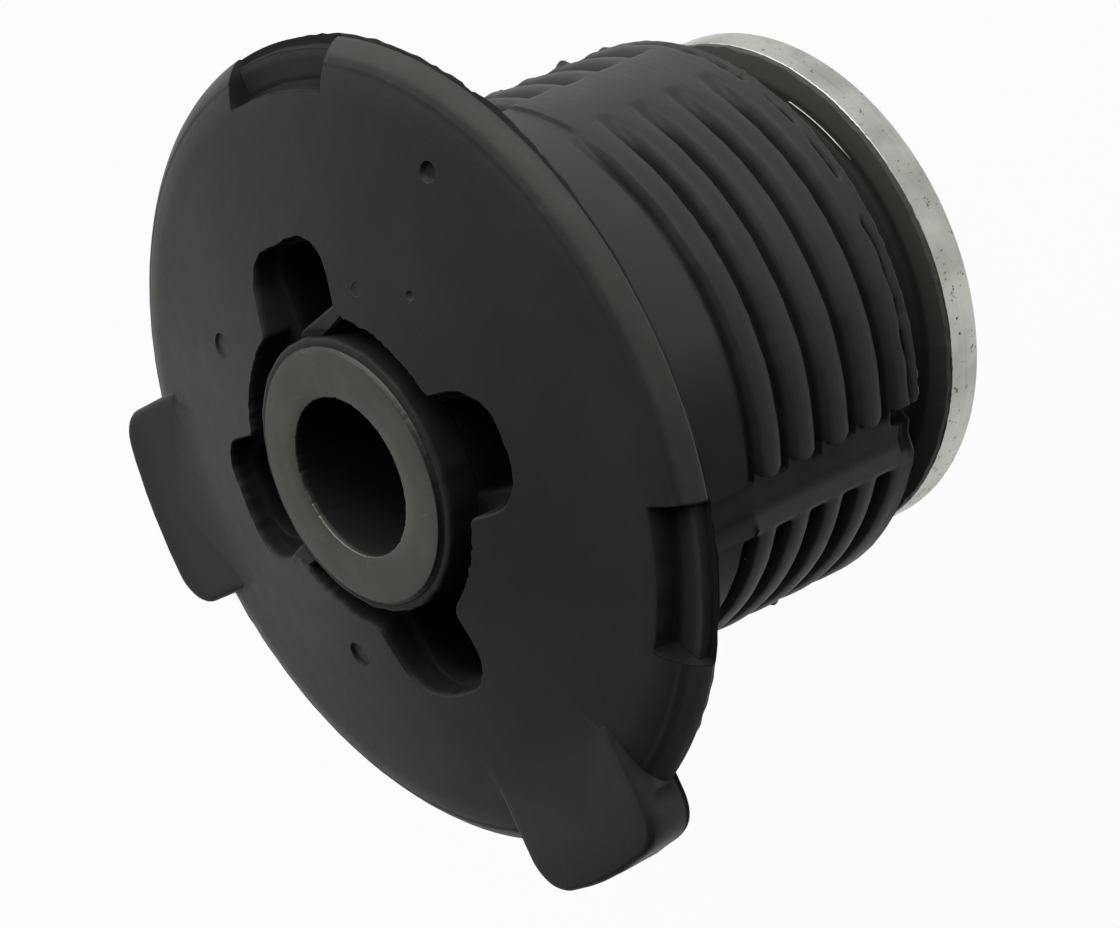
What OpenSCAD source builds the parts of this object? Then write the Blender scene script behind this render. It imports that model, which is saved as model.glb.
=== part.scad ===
// Rubber metal bush with a ribbed rubber barrel, a coned flange with two locating lugs,
// a steel inner sleeve and a steel outer sleeve whose collar closes the rear end.
// The bush stands on the rear end of its inner sleeve, with the flange up and its axis on Z.

/* [Inner sleeve] */
// Bore of the inner sleeve, which clears an M12 bolt
bore_d = 12.2; // [8:0.1:13]
// Outside diameter of the inner sleeve
sleeve_d = 19.8; // [18:0.1:20.4]
// Length of the inner sleeve, which is the height of the bush
sleeve_l = 46.4; // [45.5:0.1:55]
// Chamfer on the outer edges of the inner sleeve
sleeve_chamfer = 0.35; // [0.1:0.05:0.8]

/* [Flange] */
// Diameter of the flange at its widest line
flange_d = 62; // [60:0.1:66]
// Thickness of the flange next to the ring gap
flange_t = 6.75; // [6.2:0.05:8]
// Distance from the front end of the inner sleeve back to the face of the flange
face_set = 0.65; // [0.2:0.05:1.5]
// Angle by which the face falls away towards the rim
face_slope = 12; // [8:0.5:13]
// Width of the rim outside the face
rim_w = 3.5; // [2.8:0.1:4.5]
// Fall of the rim from the edge of the face to the widest line
rim_fall = 2.3; // [1.6:0.05:2.6]
// How far the middle of the rim bulges out of its straight slope
rim_bulge = 0.15; // [0:0.05:0.3]
// How far the rim is set in behind the widest line, where the mould parts
parting_set = 0.4; // [0.2:0.05:0.6]
// How far the thin flash line behind the parting stands out
flash_out = 0.3; // [0.1:0.05:0.4]
// Thickness of the flash line
flash_t = 0.25; // [0.15:0.05:0.4]
// Radius that joins the rear of the flange to the barrel
root_r = 1.5; // [0.5:0.1:3]

/* [Ring gap and pockets] */
// Thickness of the rubber skin round the front end of the inner sleeve
skin_t = 0.6; // [0.3:0.05:0.9]
// Distance from the front end of the inner sleeve back to the end of the skin
skin_set = 0.35; // [0.1:0.05:0.8]
// Outside diameter of the ring gap between the skin and the flange
gap_d = 24.6; // [23.8:0.1:25.4]
// Depth of the ring gap below the edge of the face
gap_depth = 2.6; // [1.5:0.1:4]
// Number of pockets round the ring gap
pocket_count = 4; // [2:1:4]
// Turn of the first pocket from the X axis
pocket_turn = -5; // [-20:1:20]
// Width of a pocket
pocket_w = 9.8; // [7:0.1:11]
// Distance from the axis to the outer wall of a pocket
pocket_reach = 17.4; // [16:0.1:18.5]
// Radius of the corners of a pocket
pocket_corner = 2.6; // [1:0.1:3.2]
// Depth of a pocket below the front end of the inner sleeve
pocket_depth = 13; // [8:0.5:14.5]
// Width of the ledge that narrows a pocket at the depth of the ring gap
ledge_w = 1.1; // [0.5:0.1:1.5]
// Thickness of a web that parts a pocket from the ring gap
web_t = 0.8; // [0.4:0.1:1.5]

/* [Rim notches] */
// Angle of the middle of the first notch
notch_a = -11; // [-20:1:0]
// Angle of the middle of the second notch
notch_b = -123; // [-135:1:-115]
// Angle that a notch takes up
notch_span = 23; // [15:1:30]
// Depth of a notch below the edge of the face
notch_depth = 1.9; // [1:0.1:2.2]
// Distance of the wall of a notch outside the edge of the face
notch_set = 0.2; // [0.1:0.05:0.6]
// Width of the floor of a notch
notch_floor = 2.6; // [1.5:0.1:2.8]
// Fillet between the wall and the floor of a notch
notch_fillet = 0.5; // [0.2:0.1:0.9]

/* [Locating lugs] */
// Width of a lug
lug_w = 16.2; // [12:0.1:20]
// How far a lug reaches out past the flange
lug_out = 3.1; // [1.5:0.1:7]
// Distance of the middle of a lug to the side of the radial line
lug_offset = 3.6; // [0:0.1:5]
// Thickness of a lug
lug_t = 3.95; // [3:0.05:4.2]
// Radius of the outer corners of a lug
lug_corner = 3; // [1:0.1:5]
// Chamfer round the front face of a lug
lug_chamfer = 0.5; // [0.2:0.1:1]

/* [Barrel] */
// Diameter over the ribs of the barrel
barrel_d = 43.8; // [42.5:0.1:46]
// How far the smooth band next to the flange is set in behind the ribs
band_set = 0.28; // [0.1:0.01:0.5]
// Distance from the rear edge of the front groove up to the start of the smooth band
band_start = 0.45; // [0.4:0.05:1.5]
// Length of the barrel behind the flange
barrel_l = 28.8; // [27:0.1:29.2]
// Number of grooves between the ribs
groove_count = 5; // [2:1:6]
// Distance from one groove to the next
groove_pitch = 3.43; // [3:0.01:3.6]
// Width of a groove at its mouth
groove_w = 1.9; // [1.2:0.1:2.4]
// Depth of a groove
groove_depth = 1.3; // [0.6:0.1:1.6]
// Rounding of the edges of a rib
rib_round = 0.35; // [0.1:0.05:0.5]
// Width of the last rib, at the rear end of the barrel
last_rib_w = 2.1; // [1.5:0.1:3]
// Depth of the channel along the barrel
channel_depth = 0.6; // [0.3:0.1:1.2]
// Angle of the barrel that a channel takes up
channel_span = 6; // [4:1:8]
// Angle over which the shallow side of a channel slopes up
channel_slope = 5; // [3:1:8]

/* [Neck and outer sleeve] */
// Outside diameter of the steel tube inside the rubber
tube_d = 33.2; // [32:0.1:34.4]
// Thickness of the rubber neck on the tube, between the barrel and the collar
neck_t = 0.7; // [0.3:0.05:0.9]
// Wall of the steel tube
tube_t = 1.5; // [1:0.1:1.8]
// Distance from the front end of the bush to the hidden front end of the tube
tube_set = 16.5; // [16:0.1:20]
// Width of the steel collar outside the tube
collar_w = 3.6; // [2.8:0.1:4.6]
// Thickness of the steel collar
collar_t = 3.15; // [2:0.05:4]
// Distance from the rear end of the inner sleeve up to the collar
collar_set = 1.6; // [0.8:0.1:2.5]
// Chamfer on the rear edge of the collar
collar_chamfer = 0.4; // [0.1:0.05:0.8]
// Width of the steel shoulder outside the tube, where the tube meets the collar
shoulder_w = 1.1; // [0.9:0.05:1.6]
// Height of the steel shoulder above the front of the collar
shoulder_t = 0.25; // [0.15:0.05:0.4]
// Thickness of the rubber coat on the front of the collar
coat_t = 0.45; // [0.42:0.01:0.8]
// Width of bare steel outside the coat of the collar
coat_margin = 0.25; // [0.1:0.05:0.8]
// Rounding of the outer edge of the coat
coat_round = 0.15; // [0.05:0.05:0.3]
// Angle at which the window in the coat starts, where the steel shoulder shows
window_a = -78; // [-120:1:-60]
// Angle that the window takes up
window_span = 38; // [10:1:60]
// Lip of rubber left on each side of the window
window_lip = 0.05; // [0.02:0.01:0.1]
// Height of the rear face of the rubber above the rear face of the collar
rear_set = 0.8; // [0.3:0.1:1.5]
// Depth of the ring hollow in the rear end of the rubber
rear_hollow = 4; // [2:0.5:8]
// Thickness of the rubber lining on each side of the ring hollow
rear_lining = 1.4; // [0.8:0.1:2]

/* [Hidden] */
$fn = 180;
// Length of cuts past the surface that they open, and the same where cuts lie close together
past = 2;
just_past = 0.1;

bore_r = bore_d / 2;
sleeve_r = sleeve_d / 2;
skin_r = sleeve_r + skin_t;
gap_r = gap_d / 2;
gap_mid_r = (skin_r + gap_r) / 2;
flange_r = flange_d / 2;
face_r = flange_r - rim_w;
lug_reach = flange_r + lug_out;
barrel_r = barrel_d / 2;
band_r = barrel_r - band_set;
tube_r = tube_d / 2;
tube_inner_r = tube_r - tube_t;
neck_r = tube_r + neck_t;
collar_r = tube_r + collar_w;
shoulder_r = tube_r + shoulder_w;
coat_r = collar_r - coat_margin;
rear_rim_r = flange_r - parting_set;
notch_r = face_r + notch_set;

// Heights above the surface that the bush stands on
top_z = sleeve_l;
face_z = top_z - face_set;
face_edge_z = face_z - (face_r - gap_r) * tan(face_slope);
rim_z = face_edge_z - rim_fall;
back_z = face_z - flange_t;
flash_z = (rim_z + back_z - flash_t) / 2;
lug_front_z = back_z + lug_t;
skin_z = top_z - skin_set;
gap_floor_z = face_z - gap_depth;
notch_floor_z = face_edge_z - notch_depth;
barrel_end_z = back_z - barrel_l;
band_z = barrel_end_z + last_rib_w + (groove_count - 1) * groove_pitch + band_start;
collar_top_z = collar_set + collar_t;
shoulder_z = collar_top_z + shoulder_t;
coat_z = collar_top_z + coat_t;
rear_rim_z = collar_set + rear_set;
tube_front_z = top_z - tube_set;

// Webs beside the pockets, as number of the pocket and side
webs = [[0, -1], [1, 1]];
// Sectors of the barrel that carry grooves, as start angle and sweep
sectors = [[-125, 68], [-24, 68], [55, 68], [156, 68]];
// Angles at which the grooves of two sectors start to run out, and angles of the channels
runouts = [-60, 120];
channels = [-130, 50];
runout_lift = 0.2;
runout_l = 10;
// Straight pieces that a quarter turn is made of, on ribs and fillets, on lug corners and edges
rib_steps = 3;
arc_steps = 6;
corner_steps = 5;
edge_steps = 3;

function polar(r, a) = [r * cos(a), r * sin(a)];
function arc(c, r, a0, a1, n = arc_steps) = [for (i = [0:n]) c + polar(r, a0 + (a1 - a0) * i / n)];

// A full turn of a closed outline given as [radius, height] points
module turned(points) {
    rotate_extrude() polygon(points);
}

// A part turn of a closed outline, from one angle on
module turned_part(points, from, sweep) {
    rotate([0, 0, from]) rotate_extrude(angle = sweep) polygon(points);
}

// Steel tube with chamfered outer edges and the bolt bore
module inner_sleeve() {
    c = sleeve_chamfer;
    color([0.55, 0.55, 0.52]) turned([
        [bore_r, 0], [sleeve_r - c, 0], [sleeve_r, c],
        [sleeve_r, top_z - c], [sleeve_r - c, top_z], [bore_r, top_z]
    ]);
}

// Steel tube with the collar that closes the rear end
module outer_sleeve() {
    c = collar_chamfer;
    color([0.8, 0.8, 0.76]) turned([
        [tube_inner_r, collar_set], [collar_r - c, collar_set], [collar_r, collar_set + c],
        [collar_r, collar_top_z], [shoulder_r, collar_top_z], [shoulder_r, shoulder_z],
        [tube_r, shoulder_z], [tube_r, tube_front_z], [tube_inner_r, tube_front_z]
    ]);
}

// Outline of the moulded rubber, from the rear end up and round, before its cuts
function rubber_outline() = concat(
    [[sleeve_r, rear_rim_z], [tube_inner_r, rear_rim_z], [tube_inner_r, tube_front_z],
     [tube_r, tube_front_z], [tube_r, shoulder_z], [shoulder_r, shoulder_z],
     [shoulder_r, collar_top_z], [coat_r, collar_top_z], [coat_r, coat_z - coat_round],
     [coat_r - coat_round, coat_z], [neck_r, coat_z], [neck_r, barrel_end_z]],
    arc([barrel_r - rib_round, barrel_end_z + rib_round], rib_round, -90, 0, rib_steps),
    [[barrel_r, band_z], [band_r, band_z]],
    arc([band_r + root_r, back_z - root_r], root_r, 180, 90),
    [[rear_rim_r - parting_set, back_z], [rear_rim_r, flash_z], [rear_rim_r + flash_out, flash_z],
     [rear_rim_r + flash_out, flash_z + flash_t], [rear_rim_r, flash_z + flash_t],
     [flange_r, rim_z],
     [(flange_r + face_r + rim_bulge) / 2, (rim_z + face_edge_z + rim_bulge) / 2],
     [face_r, face_edge_z], [gap_mid_r, face_z + (gap_r - gap_mid_r) * tan(face_slope)],
     [(skin_r + sleeve_r) / 2, skin_z], [sleeve_r, skin_z]]
);

// Cross-section of the grooves, one tooth for each, with rounded edges that open outwards
module groove_teeth(r) {
    third = rib_round / 3;
    edge = rib_round + 2 * just_past;
    for (i = [0:groove_count - 1]) {
        z = barrel_end_z + last_rib_w + groove_w / 2 + i * groove_pitch;
        w = groove_w / 2;
        polygon([
            [r - groove_depth, z - w + rib_round], [r - groove_depth, z + w - rib_round],
            [r - rib_round, z + w], [r - third, z + w + third], [r + just_past, z + w + edge],
            [r + just_past, z - w - edge], [r - third, z - w - third], [r - rib_round, z - w]
        ]);
    }
}

// Grooves between the ribs, cut sector by sector
module grooves() {
    for (s = sectors) rotate([0, 0, s[0]]) rotate_extrude(angle = s[1]) groove_teeth(barrel_r);
    // Straight slots let the far ends of two sectors run out into the barrel
    for (a = runouts) {
        rotate([0, 0, a]) rotate([90, 0, 0]) translate([0, 0, -runout_l])
            linear_extrude(runout_l) groove_teeth(barrel_r + runout_lift);
    }
}

// Channel along the barrel, with a steep side and a side that slopes up slowly
module channel(a) {
    floor_r = barrel_r - channel_depth;
    translate([0, 0, barrel_end_z - past]) linear_extrude(back_z - root_r - barrel_end_z + past)
        polygon([
            polar(floor_r, a), polar(floor_r, a + channel_span / 2),
            polar(floor_r, a + channel_span), polar(barrel_r + past, a + channel_span),
            polar(barrel_r + past, a - channel_slope), polar(barrel_r, a - channel_slope)
        ]);
}

// A notch cut into the edge of the rim, which leaves the flash line whole
module notch(a) {
    c = notch_fillet;
    outer_r = notch_r + notch_floor;
    ridge_z = flash_z + flash_t + just_past;
    turned_part(concat(
        [[notch_r, top_z]],
        arc([notch_r + c, notch_floor_z + c], c, 180, 270, rib_steps),
        [[outer_r, notch_floor_z], [outer_r, ridge_z], [flange_r + past, ridge_z],
         [flange_r + past, top_z]]
    ), a - notch_span / 2, notch_span);
}

// Outline of a pocket, pointing along X, made smaller all round by inset
module pocket_outline(inset) {
    half = pocket_w / 2 - inset;
    c = pocket_corner - inset / 2;
    far = pocket_reach - inset / 2;
    polygon(concat(
        [[sleeve_r, -half], [far - c, -half]],
        arc([far - c, c - half], c, -90, 0),
        arc([far - c, half - c], c, 0, 90),
        [[sleeve_r, half]]
    ));
}

// Ring gap and pockets, with the webs that part some pockets from the gap
module face_cuts() {
    step = 360 / pocket_count;
    shallow = top_z + past - gap_floor_z;
    deep = pocket_depth + past;
    difference() {
        union() {
            translate([0, 0, gap_floor_z]) cylinder(r = gap_r, h = shallow);
            for (i = [0:pocket_count - 1]) rotate([0, 0, pocket_turn + i * step]) {
                translate([0, 0, gap_floor_z]) linear_extrude(shallow) pocket_outline(0);
                translate([0, 0, top_z - pocket_depth]) linear_extrude(deep)
                    pocket_outline(ledge_w);
            }
        }
        cylinder(r = skin_r, h = top_z + 2 * past);
        for (web = webs) rotate([0, 0, pocket_turn + web[0] * step])
            translate([gap_mid_r, web[1] * (pocket_w + web_t) / 2, top_z])
                cube([2 * (gap_r - skin_r), web_t, 2 * top_z], center = true);
    }
}

// Outline of a lug that points along X, with its middle moved to one side
module lug_outline(side, inset) {
    c = lug_corner;
    r = lug_reach - inset;
    low = side * lug_offset - lug_w / 2 + inset;
    high = side * lug_offset + lug_w / 2 - inset;
    low_c = [sqrt(pow(r - c, 2) - pow(low + c, 2)), low + c];
    high_c = [sqrt(pow(r - c, 2) - pow(high - c, 2)), high - c];
    polygon(concat(
        [[barrel_r, low]],
        arc(low_c, c, -90, atan2(low_c[1], low_c[0]), corner_steps),
        arc([0, 0], r, atan2(low_c[1], low_c[0]), atan2(high_c[1], high_c[0]), 2 * edge_steps),
        arc(high_c, c, atan2(high_c[1], high_c[0]), 90, corner_steps),
        [[barrel_r, high]]
    ));
}

// A locating lug, with its front edges chamfered in steps
module lug(turn, side) {
    rotate([0, 0, turn]) {
        translate([0, 0, back_z]) linear_extrude(lug_t - lug_chamfer) lug_outline(side, 0);
        for (i = [1:edge_steps]) {
            a = 90 * i / edge_steps;
            translate([0, 0, lug_front_z - lug_chamfer]) linear_extrude(lug_chamfer * sin(a))
                lug_outline(side, lug_chamfer * (1 - cos(a)));
        }
    }
}

// Window in the coat that bares part of the steel shoulder
module coat_window() {
    turned_part([
        [neck_r + window_lip, collar_top_z], [shoulder_r - window_lip, collar_top_z],
        [shoulder_r - window_lip, coat_z + past], [neck_r + window_lip, coat_z + past]
    ], window_a, window_span);
}

// Ring hollow in the rear end of the rubber
module rear_ring() {
    turned([
        [sleeve_r + rear_lining, collar_set], [tube_inner_r - rear_lining, collar_set],
        [tube_inner_r - rear_lining, rear_rim_z + rear_hollow],
        [sleeve_r + rear_lining, rear_rim_z + rear_hollow]
    ]);
}

// The moulded rubber: flange, lugs, ribbed barrel, neck and the coat on the collar
module rubber_body() {
    color([0.16, 0.16, 0.15]) difference() {
        union() {
            turned(rubber_outline());
            lug(90, -1);
            lug(180, 1);
        }
        grooves();
        for (a = channels) channel(a);
        notch(notch_a);
        notch(notch_b);
        face_cuts();
        coat_window();
        rear_ring();
    }
}

inner_sleeve();
rubber_body();
outer_sleeve();
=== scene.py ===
"""The looks of a rubber metal bush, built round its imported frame.

The rubber moulding, the bolt sleeve and the collar sleeve each get a fine mesh that stands for
their frame node, with worn edges, mould flash and tool marks, and a finish of shader nodes.
Lengths are in millimetres until a mesh is made, and angles are in degrees. Heights are measured
from the floor, and angles round the axis from +X towards +Y, as in the frame.
"""

from __future__ import annotations

import logging
import math
from collections.abc import Mapping, Sequence
from dataclasses import dataclass, field
from enum import Enum
from functools import reduce

import bmesh
import bpy
import numpy as np
from mathutils import Matrix, Vector


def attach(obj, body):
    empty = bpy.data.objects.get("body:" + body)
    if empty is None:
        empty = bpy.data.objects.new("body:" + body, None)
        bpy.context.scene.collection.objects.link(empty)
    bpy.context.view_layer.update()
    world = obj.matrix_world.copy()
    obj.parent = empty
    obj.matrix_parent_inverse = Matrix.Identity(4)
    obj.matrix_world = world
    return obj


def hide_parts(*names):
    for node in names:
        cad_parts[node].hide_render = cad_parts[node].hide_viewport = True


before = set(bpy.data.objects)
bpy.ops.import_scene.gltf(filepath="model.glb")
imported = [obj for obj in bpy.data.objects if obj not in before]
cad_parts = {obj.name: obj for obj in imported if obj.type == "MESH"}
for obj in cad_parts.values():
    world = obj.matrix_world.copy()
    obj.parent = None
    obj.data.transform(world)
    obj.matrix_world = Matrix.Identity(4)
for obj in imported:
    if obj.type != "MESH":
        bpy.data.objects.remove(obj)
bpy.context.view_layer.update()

log = logging.getLogger("bush")

MM = 0.001  # Metres in a millimetre.
BODY = "root"  # The frame's only body.
SHARP_EDGE = 36.0  # An edge that turns by more degrees than this is shaded sharp.
WELD = 2e-6  # Corners nearer to each other than this, in metres, become one.
Points = np.ndarray
Colour = tuple[float, float, float]


class Node(Enum):
    """The frame nodes that get a fine mesh."""

    BOLT_SLEEVE = "inner_sleeve"
    RUBBER = "rubber_body"
    COLLAR_SLEEVE = "outer_sleeve"


class Slot(Enum):
    """The record's material slots."""

    SLEEVE_STEEL = "sleeve_steel"
    RUBBER = "black_rubber"
    COLLAR_STEEL = "collar_steel"


def smooth(t: Points) -> Points:
    """A soft step from 0 to 1 over t from 0 to 1."""
    t = np.clip(t, 0.0, 1.0)
    return t * t * (3.0 - 2.0 * t)


def turn_between(phi: Points, start: float) -> Points:
    """Angle from start round to phi, from 0 to 360."""
    return np.mod(phi - start, 360.0)


def off_angle(phi: Points, centre: float) -> Points:
    """Signed angle from centre to phi, from -180 to 180."""
    return np.mod(phi - centre + 180.0, 360.0) - 180.0


def polar(radius: Points, phi: Points) -> tuple[Points, Points]:
    """Plane coordinates of a radius and an angle."""
    a = np.radians(phi)
    return radius * np.cos(a), radius * np.sin(a)


class Wander:
    """A smooth random wander round the axis, of about unit size and the same on each run."""

    def __init__(self, seed: int, slowest: int, fastest: int, waves: int = 60) -> None:
        """Draws the waves.

        Args:
            seed: Start of the random draws.
            slowest: Fewest waves in a full turn.
            fastest: Most waves in a full turn.
            waves: How many waves are added up.
        """
        rng = np.random.default_rng(seed)
        self.rate = rng.integers(slowest, fastest, waves)
        self.phase = rng.uniform(0.0, math.tau, waves)
        self.size = rng.normal(0.0, 1.0, waves) * math.sqrt(2.0 / waves)

    def at(self, phi: Points) -> Points:
        """Value of the wander at each angle."""
        waves = np.sin(np.radians(phi)[..., None] * self.rate + self.phase)
        return (waves * self.size).sum(-1)


@dataclass(frozen=True)
class Corner:
    """A corner of an outline in the plane of radius and height.

    Attributes:
        r: Distance from the axis.
        z: Height.
        fillet: Radius that rounds the corner.
        steps: Straight pieces that make up the rounding.
    """

    r: float
    z: float
    fillet: float = 0.0
    steps: int = 3


def rounded_path(corners: Sequence[Corner], span: float) -> Points:
    """Rounds the corners of an open outline and divides its long stretches.

    Args:
        corners: The outline's corners, in order.
        span: Longest stretch between two points.

    Returns:
        Points of the outline, one row for each.
    """
    at = [np.array([c.r, c.z]) for c in corners]
    points: list[Points] = []
    for i, corner in enumerate(corners):
        if corner.fillet <= 0.0 or i in (0, len(corners) - 1):
            points.append(at[i])
            continue
        back = (at[i - 1] - at[i]) / np.linalg.norm(at[i - 1] - at[i])
        ahead = (at[i + 1] - at[i]) / np.linalg.norm(at[i + 1] - at[i])
        half = math.acos(float(np.clip(back @ ahead, -1.0, 1.0))) / 2.0
        middle = at[i] + (back + ahead) / np.linalg.norm(back + ahead) * corner.fillet / math.sin(half)
        first = at[i] + back * corner.fillet / math.tan(half) - middle
        last = at[i] + ahead * corner.fillet / math.tan(half) - middle
        for t in np.linspace(0.0, 1.0, corner.steps + 1):
            bent = first * (1.0 - t) + last * t
            points.append(middle + bent / np.linalg.norm(bent) * corner.fillet)
    path = [points[0]]
    for a, b in zip(points, points[1:]):
        pieces = max(1, math.ceil(float(np.linalg.norm(b - a)) / span))
        path += [a + (b - a) * k / pieces for k in range(1, pieces + 1)]
    return np.array(path)


def make_mesh(name: str, vertices: Points, faces: Sequence[Sequence[int]]) -> bpy.types.Object:
    """Makes an object of a closed mesh, with its faces turned outwards.

    Args:
        name: Name of the object.
        vertices: Corners in millimetres, one row for each.
        faces: Corner numbers of each face.

    Returns:
        The new object, linked to the scene.
    """
    mesh = bpy.data.meshes.new(name)
    mesh.from_pydata((vertices * MM).tolist(), [], faces)
    piece = bpy.data.objects.new(name, mesh)
    bpy.context.scene.collection.objects.link(piece)
    if signed_volume(mesh) < 0.0:
        mesh.flip_normals()
    mesh.update()
    return piece


def signed_volume(mesh: bpy.types.Mesh) -> float:
    """Volume that a closed mesh encloses, negative where its faces look inwards.

    Args:
        mesh: The mesh.

    Returns:
        The volume, in cubic metres.
    """
    mesh.calc_loop_triangles()
    corners = np.zeros(len(mesh.vertices) * 3)
    mesh.vertices.foreach_get("co", corners)
    triangles = np.zeros(len(mesh.loop_triangles) * 3, int)
    mesh.loop_triangles.foreach_get("vertices", triangles)
    a, b, c = corners.reshape(-1, 3)[triangles.reshape(-1, 3)].transpose(1, 0, 2)
    return float((np.cross(a, b) * c).sum()) / 6.0


def closed_grid(name: str, corners: Points) -> bpy.types.Object:
    """Makes a mesh of a grid that closes on itself both along its rows and across them.

    Args:
        name: Name of the object.
        corners: Corners by row and column.

    Returns:
        The new object.
    """
    index = np.arange(corners.size // 3).reshape(corners.shape[:2])
    below = np.roll(index, -1, 0)
    faces = np.stack([index, below, np.roll(below, -1, 1), np.roll(index, -1, 1)], -1)
    return make_mesh(name, corners.reshape(-1, 3), faces.reshape(-1, 4).tolist())


def lathe(name: str, r: Points, z: Points, phi: Points) -> bpy.types.Object:
    """Makes a ring of a closed outline, which may change round the axis.

    Args:
        name: Name of the object.
        r: Radius of each row and column.
        z: Height of each row and column.
        phi: Angle of each column.

    Returns:
        The new object.
    """
    x, y = polar(r, phi)
    return closed_grid(name, np.stack([x, y, z], -1))


def turned(piece: bpy.types.Object, angle: float) -> bpy.types.Object:
    """Turns the mesh of a piece round the axis and gives the piece back."""
    piece.data.transform(Matrix.Rotation(math.radians(angle), 4, "Z"))
    return piece


def stacked(name: str, rings: Sequence[Points]) -> bpy.types.Object:
    """Makes a solid of rings with equal counts of points, closed by a fan at each end.

    Args:
        name: Name of the object.
        rings: Points of each ring, from one end to the other.

    Returns:
        The new object.
    """
    count = len(rings[0])
    ends = [rings[0].mean(0)[None], rings[-1].mean(0)[None]]
    vertices = np.concatenate([*rings, *ends])
    faces: list[tuple[int, ...]] = []
    for k in range(len(rings) - 1):
        for i in range(count):
            j = (i + 1) % count
            faces.append((k * count + i, k * count + j, (k + 1) * count + j, (k + 1) * count + i))
    first, last = len(vertices) - 2, len(vertices) - 1
    top = (len(rings) - 1) * count
    faces += [(first, (i + 1) % count, i) for i in range(count)]
    faces += [(last, top + i, top + (i + 1) % count) for i in range(count)]
    return make_mesh(name, vertices, faces)


class Cut(Enum):
    """What a boolean does with its tool."""

    JOIN = "UNION"
    REMOVE = "DIFFERENCE"


def combine(piece: bpy.types.Object, tool: bpy.types.Object, cut: Cut) -> None:
    """Joins a tool to a piece or cuts it out, and deletes the tool.

    Args:
        piece: The piece that changes.
        tool: A closed mesh.
        cut: What is done.
    """
    boolean = piece.modifiers.new("cut", "BOOLEAN")
    boolean.operation = cut.value
    boolean.solver = "MANIFOLD"
    boolean.object = tool
    graph = bpy.context.evaluated_depsgraph_get()
    result = bpy.data.meshes.new_from_object(piece.evaluated_get(graph))
    piece.modifiers.clear()
    old = piece.data
    piece.data = result
    result.name = old.name
    bpy.data.meshes.remove(old)
    bpy.data.objects.remove(tool)


def drop_slivers(piece: bpy.types.Object) -> None:
    """Takes out the slivers and double faces that booleans leave.

    Args:
        piece: The piece that is cleaned.
    """
    work = bmesh.new()
    work.from_mesh(piece.data)
    bmesh.ops.triangulate(work, faces=work.faces)
    bmesh.ops.remove_doubles(work, verts=work.verts, dist=WELD)
    bmesh.ops.dissolve_degenerate(work, edges=work.edges, dist=WELD)
    bmesh.ops.triangulate(work, faces=work.faces)
    work.to_mesh(piece.data)
    work.free()


def offset_ring(outline: Points, distance: float) -> Points:
    """Moves each point of a closed plane outline outwards along its normal.

    Args:
        outline: Points in order, counter-clockwise.
        distance: How far they move.

    Returns:
        The moved points.
    """
    along = np.roll(outline, -1, 0) - np.roll(outline, 1, 0)
    along /= np.linalg.norm(along, axis=1)[:, None]
    return outline + distance * np.stack([along[:, 1], -along[:, 0]], -1)


def even_ring(outline: Points, count: int) -> Points:
    """Spaces the points of a closed plane outline evenly.

    Args:
        outline: Points in order.
        count: How many points come back.

    Returns:
        The new points.
    """
    closed = np.concatenate([outline, outline[:1]])
    run = np.concatenate([[0.0], np.cumsum(np.linalg.norm(np.diff(closed, axis=0), axis=1))])
    at = np.linspace(0.0, run[-1], count, endpoint=False)
    return np.stack([np.interp(at, run, closed[:, 0]), np.interp(at, run, closed[:, 1])], -1)


def level_ring(outline: Points, out: float, z: Points | float) -> Points:
    """A closed plane outline moved outwards and set at its height."""
    return np.column_stack([offset_ring(outline, out), np.broadcast_to(z, len(outline))])


def soften_ring(outline: Points, passes: int) -> Points:
    """Rounds a closed outline by moving each point towards its neighbours, pass after pass.

    Args:
        outline: Points in order.
        passes: How often they move.

    Returns:
        The new points.
    """
    for _ in range(passes):
        outline = 0.5 * outline + 0.25 * (np.roll(outline, 1, 0) + np.roll(outline, -1, 0))
    return outline


def nearness(path: Points, r: float, z: float, spread: float) -> Points:
    """How near each point of an outline lies to a place, from 1 there down to 0."""
    return np.exp(-((path[:, :1] - r) ** 2 + (path[:, 1:] - z) ** 2) / spread)


@dataclass(frozen=True)
class Heights:
    """Heights and radii of the frame that the pieces share, as the frame's solids have them."""

    top: float = 46.4
    face: float = 45.75
    face_slope: float = 12.0
    gap_r: float = 12.3
    back: float = 39.0
    barrel_end: float = 10.2
    flange_r: float = 31.0
    barrel_r: float = 21.9
    band_r: float = 21.62
    band_z: float = 26.47
    bore_r: float = 6.1
    sleeve_r: float = 9.9
    tube_inner_r: float = 15.1
    tube_r: float = 16.6
    tube_front: float = 29.9
    collar_rear: float = 1.6
    collar_front: float = 4.75
    collar_r: float = 20.2
    shoulder_r: float = 17.7
    shoulder: float = 5.0

    def face_at(self, r: Points) -> Points:
        """Height of the coned face at a radius."""
        return self.face - (r - self.gap_r) * math.tan(math.radians(self.face_slope))


@dataclass(frozen=True)
class GrooveSector:
    """A sector of the barrel that carries grooves.

    Attributes:
        start: Angle of its first end.
        sweep: Angle that it takes up.
        runs_out: Whether the grooves fade out at the far end, and don't end in a wall.
    """

    start: float
    sweep: float
    runs_out: bool


@dataclass(frozen=True)
class Notch:
    """A notch cut into the rim, with the angle of its middle and the angle that it takes up."""

    middle: float
    span: float


@dataclass(frozen=True)
class Lug:
    """A locating lug, with the angle that it points at and the side that its middle lies on."""

    turn: float
    side: int


@dataclass(frozen=True)
class Pocket:
    """A pocket round the sleeve.

    Attributes:
        turn: Angle that it points at.
        width: Width across that angle.
        reach: Distance of its far wall from the axis.
        corner: Radius of its far corners.
    """

    turn: float
    width: float
    reach: float
    corner: float


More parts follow.
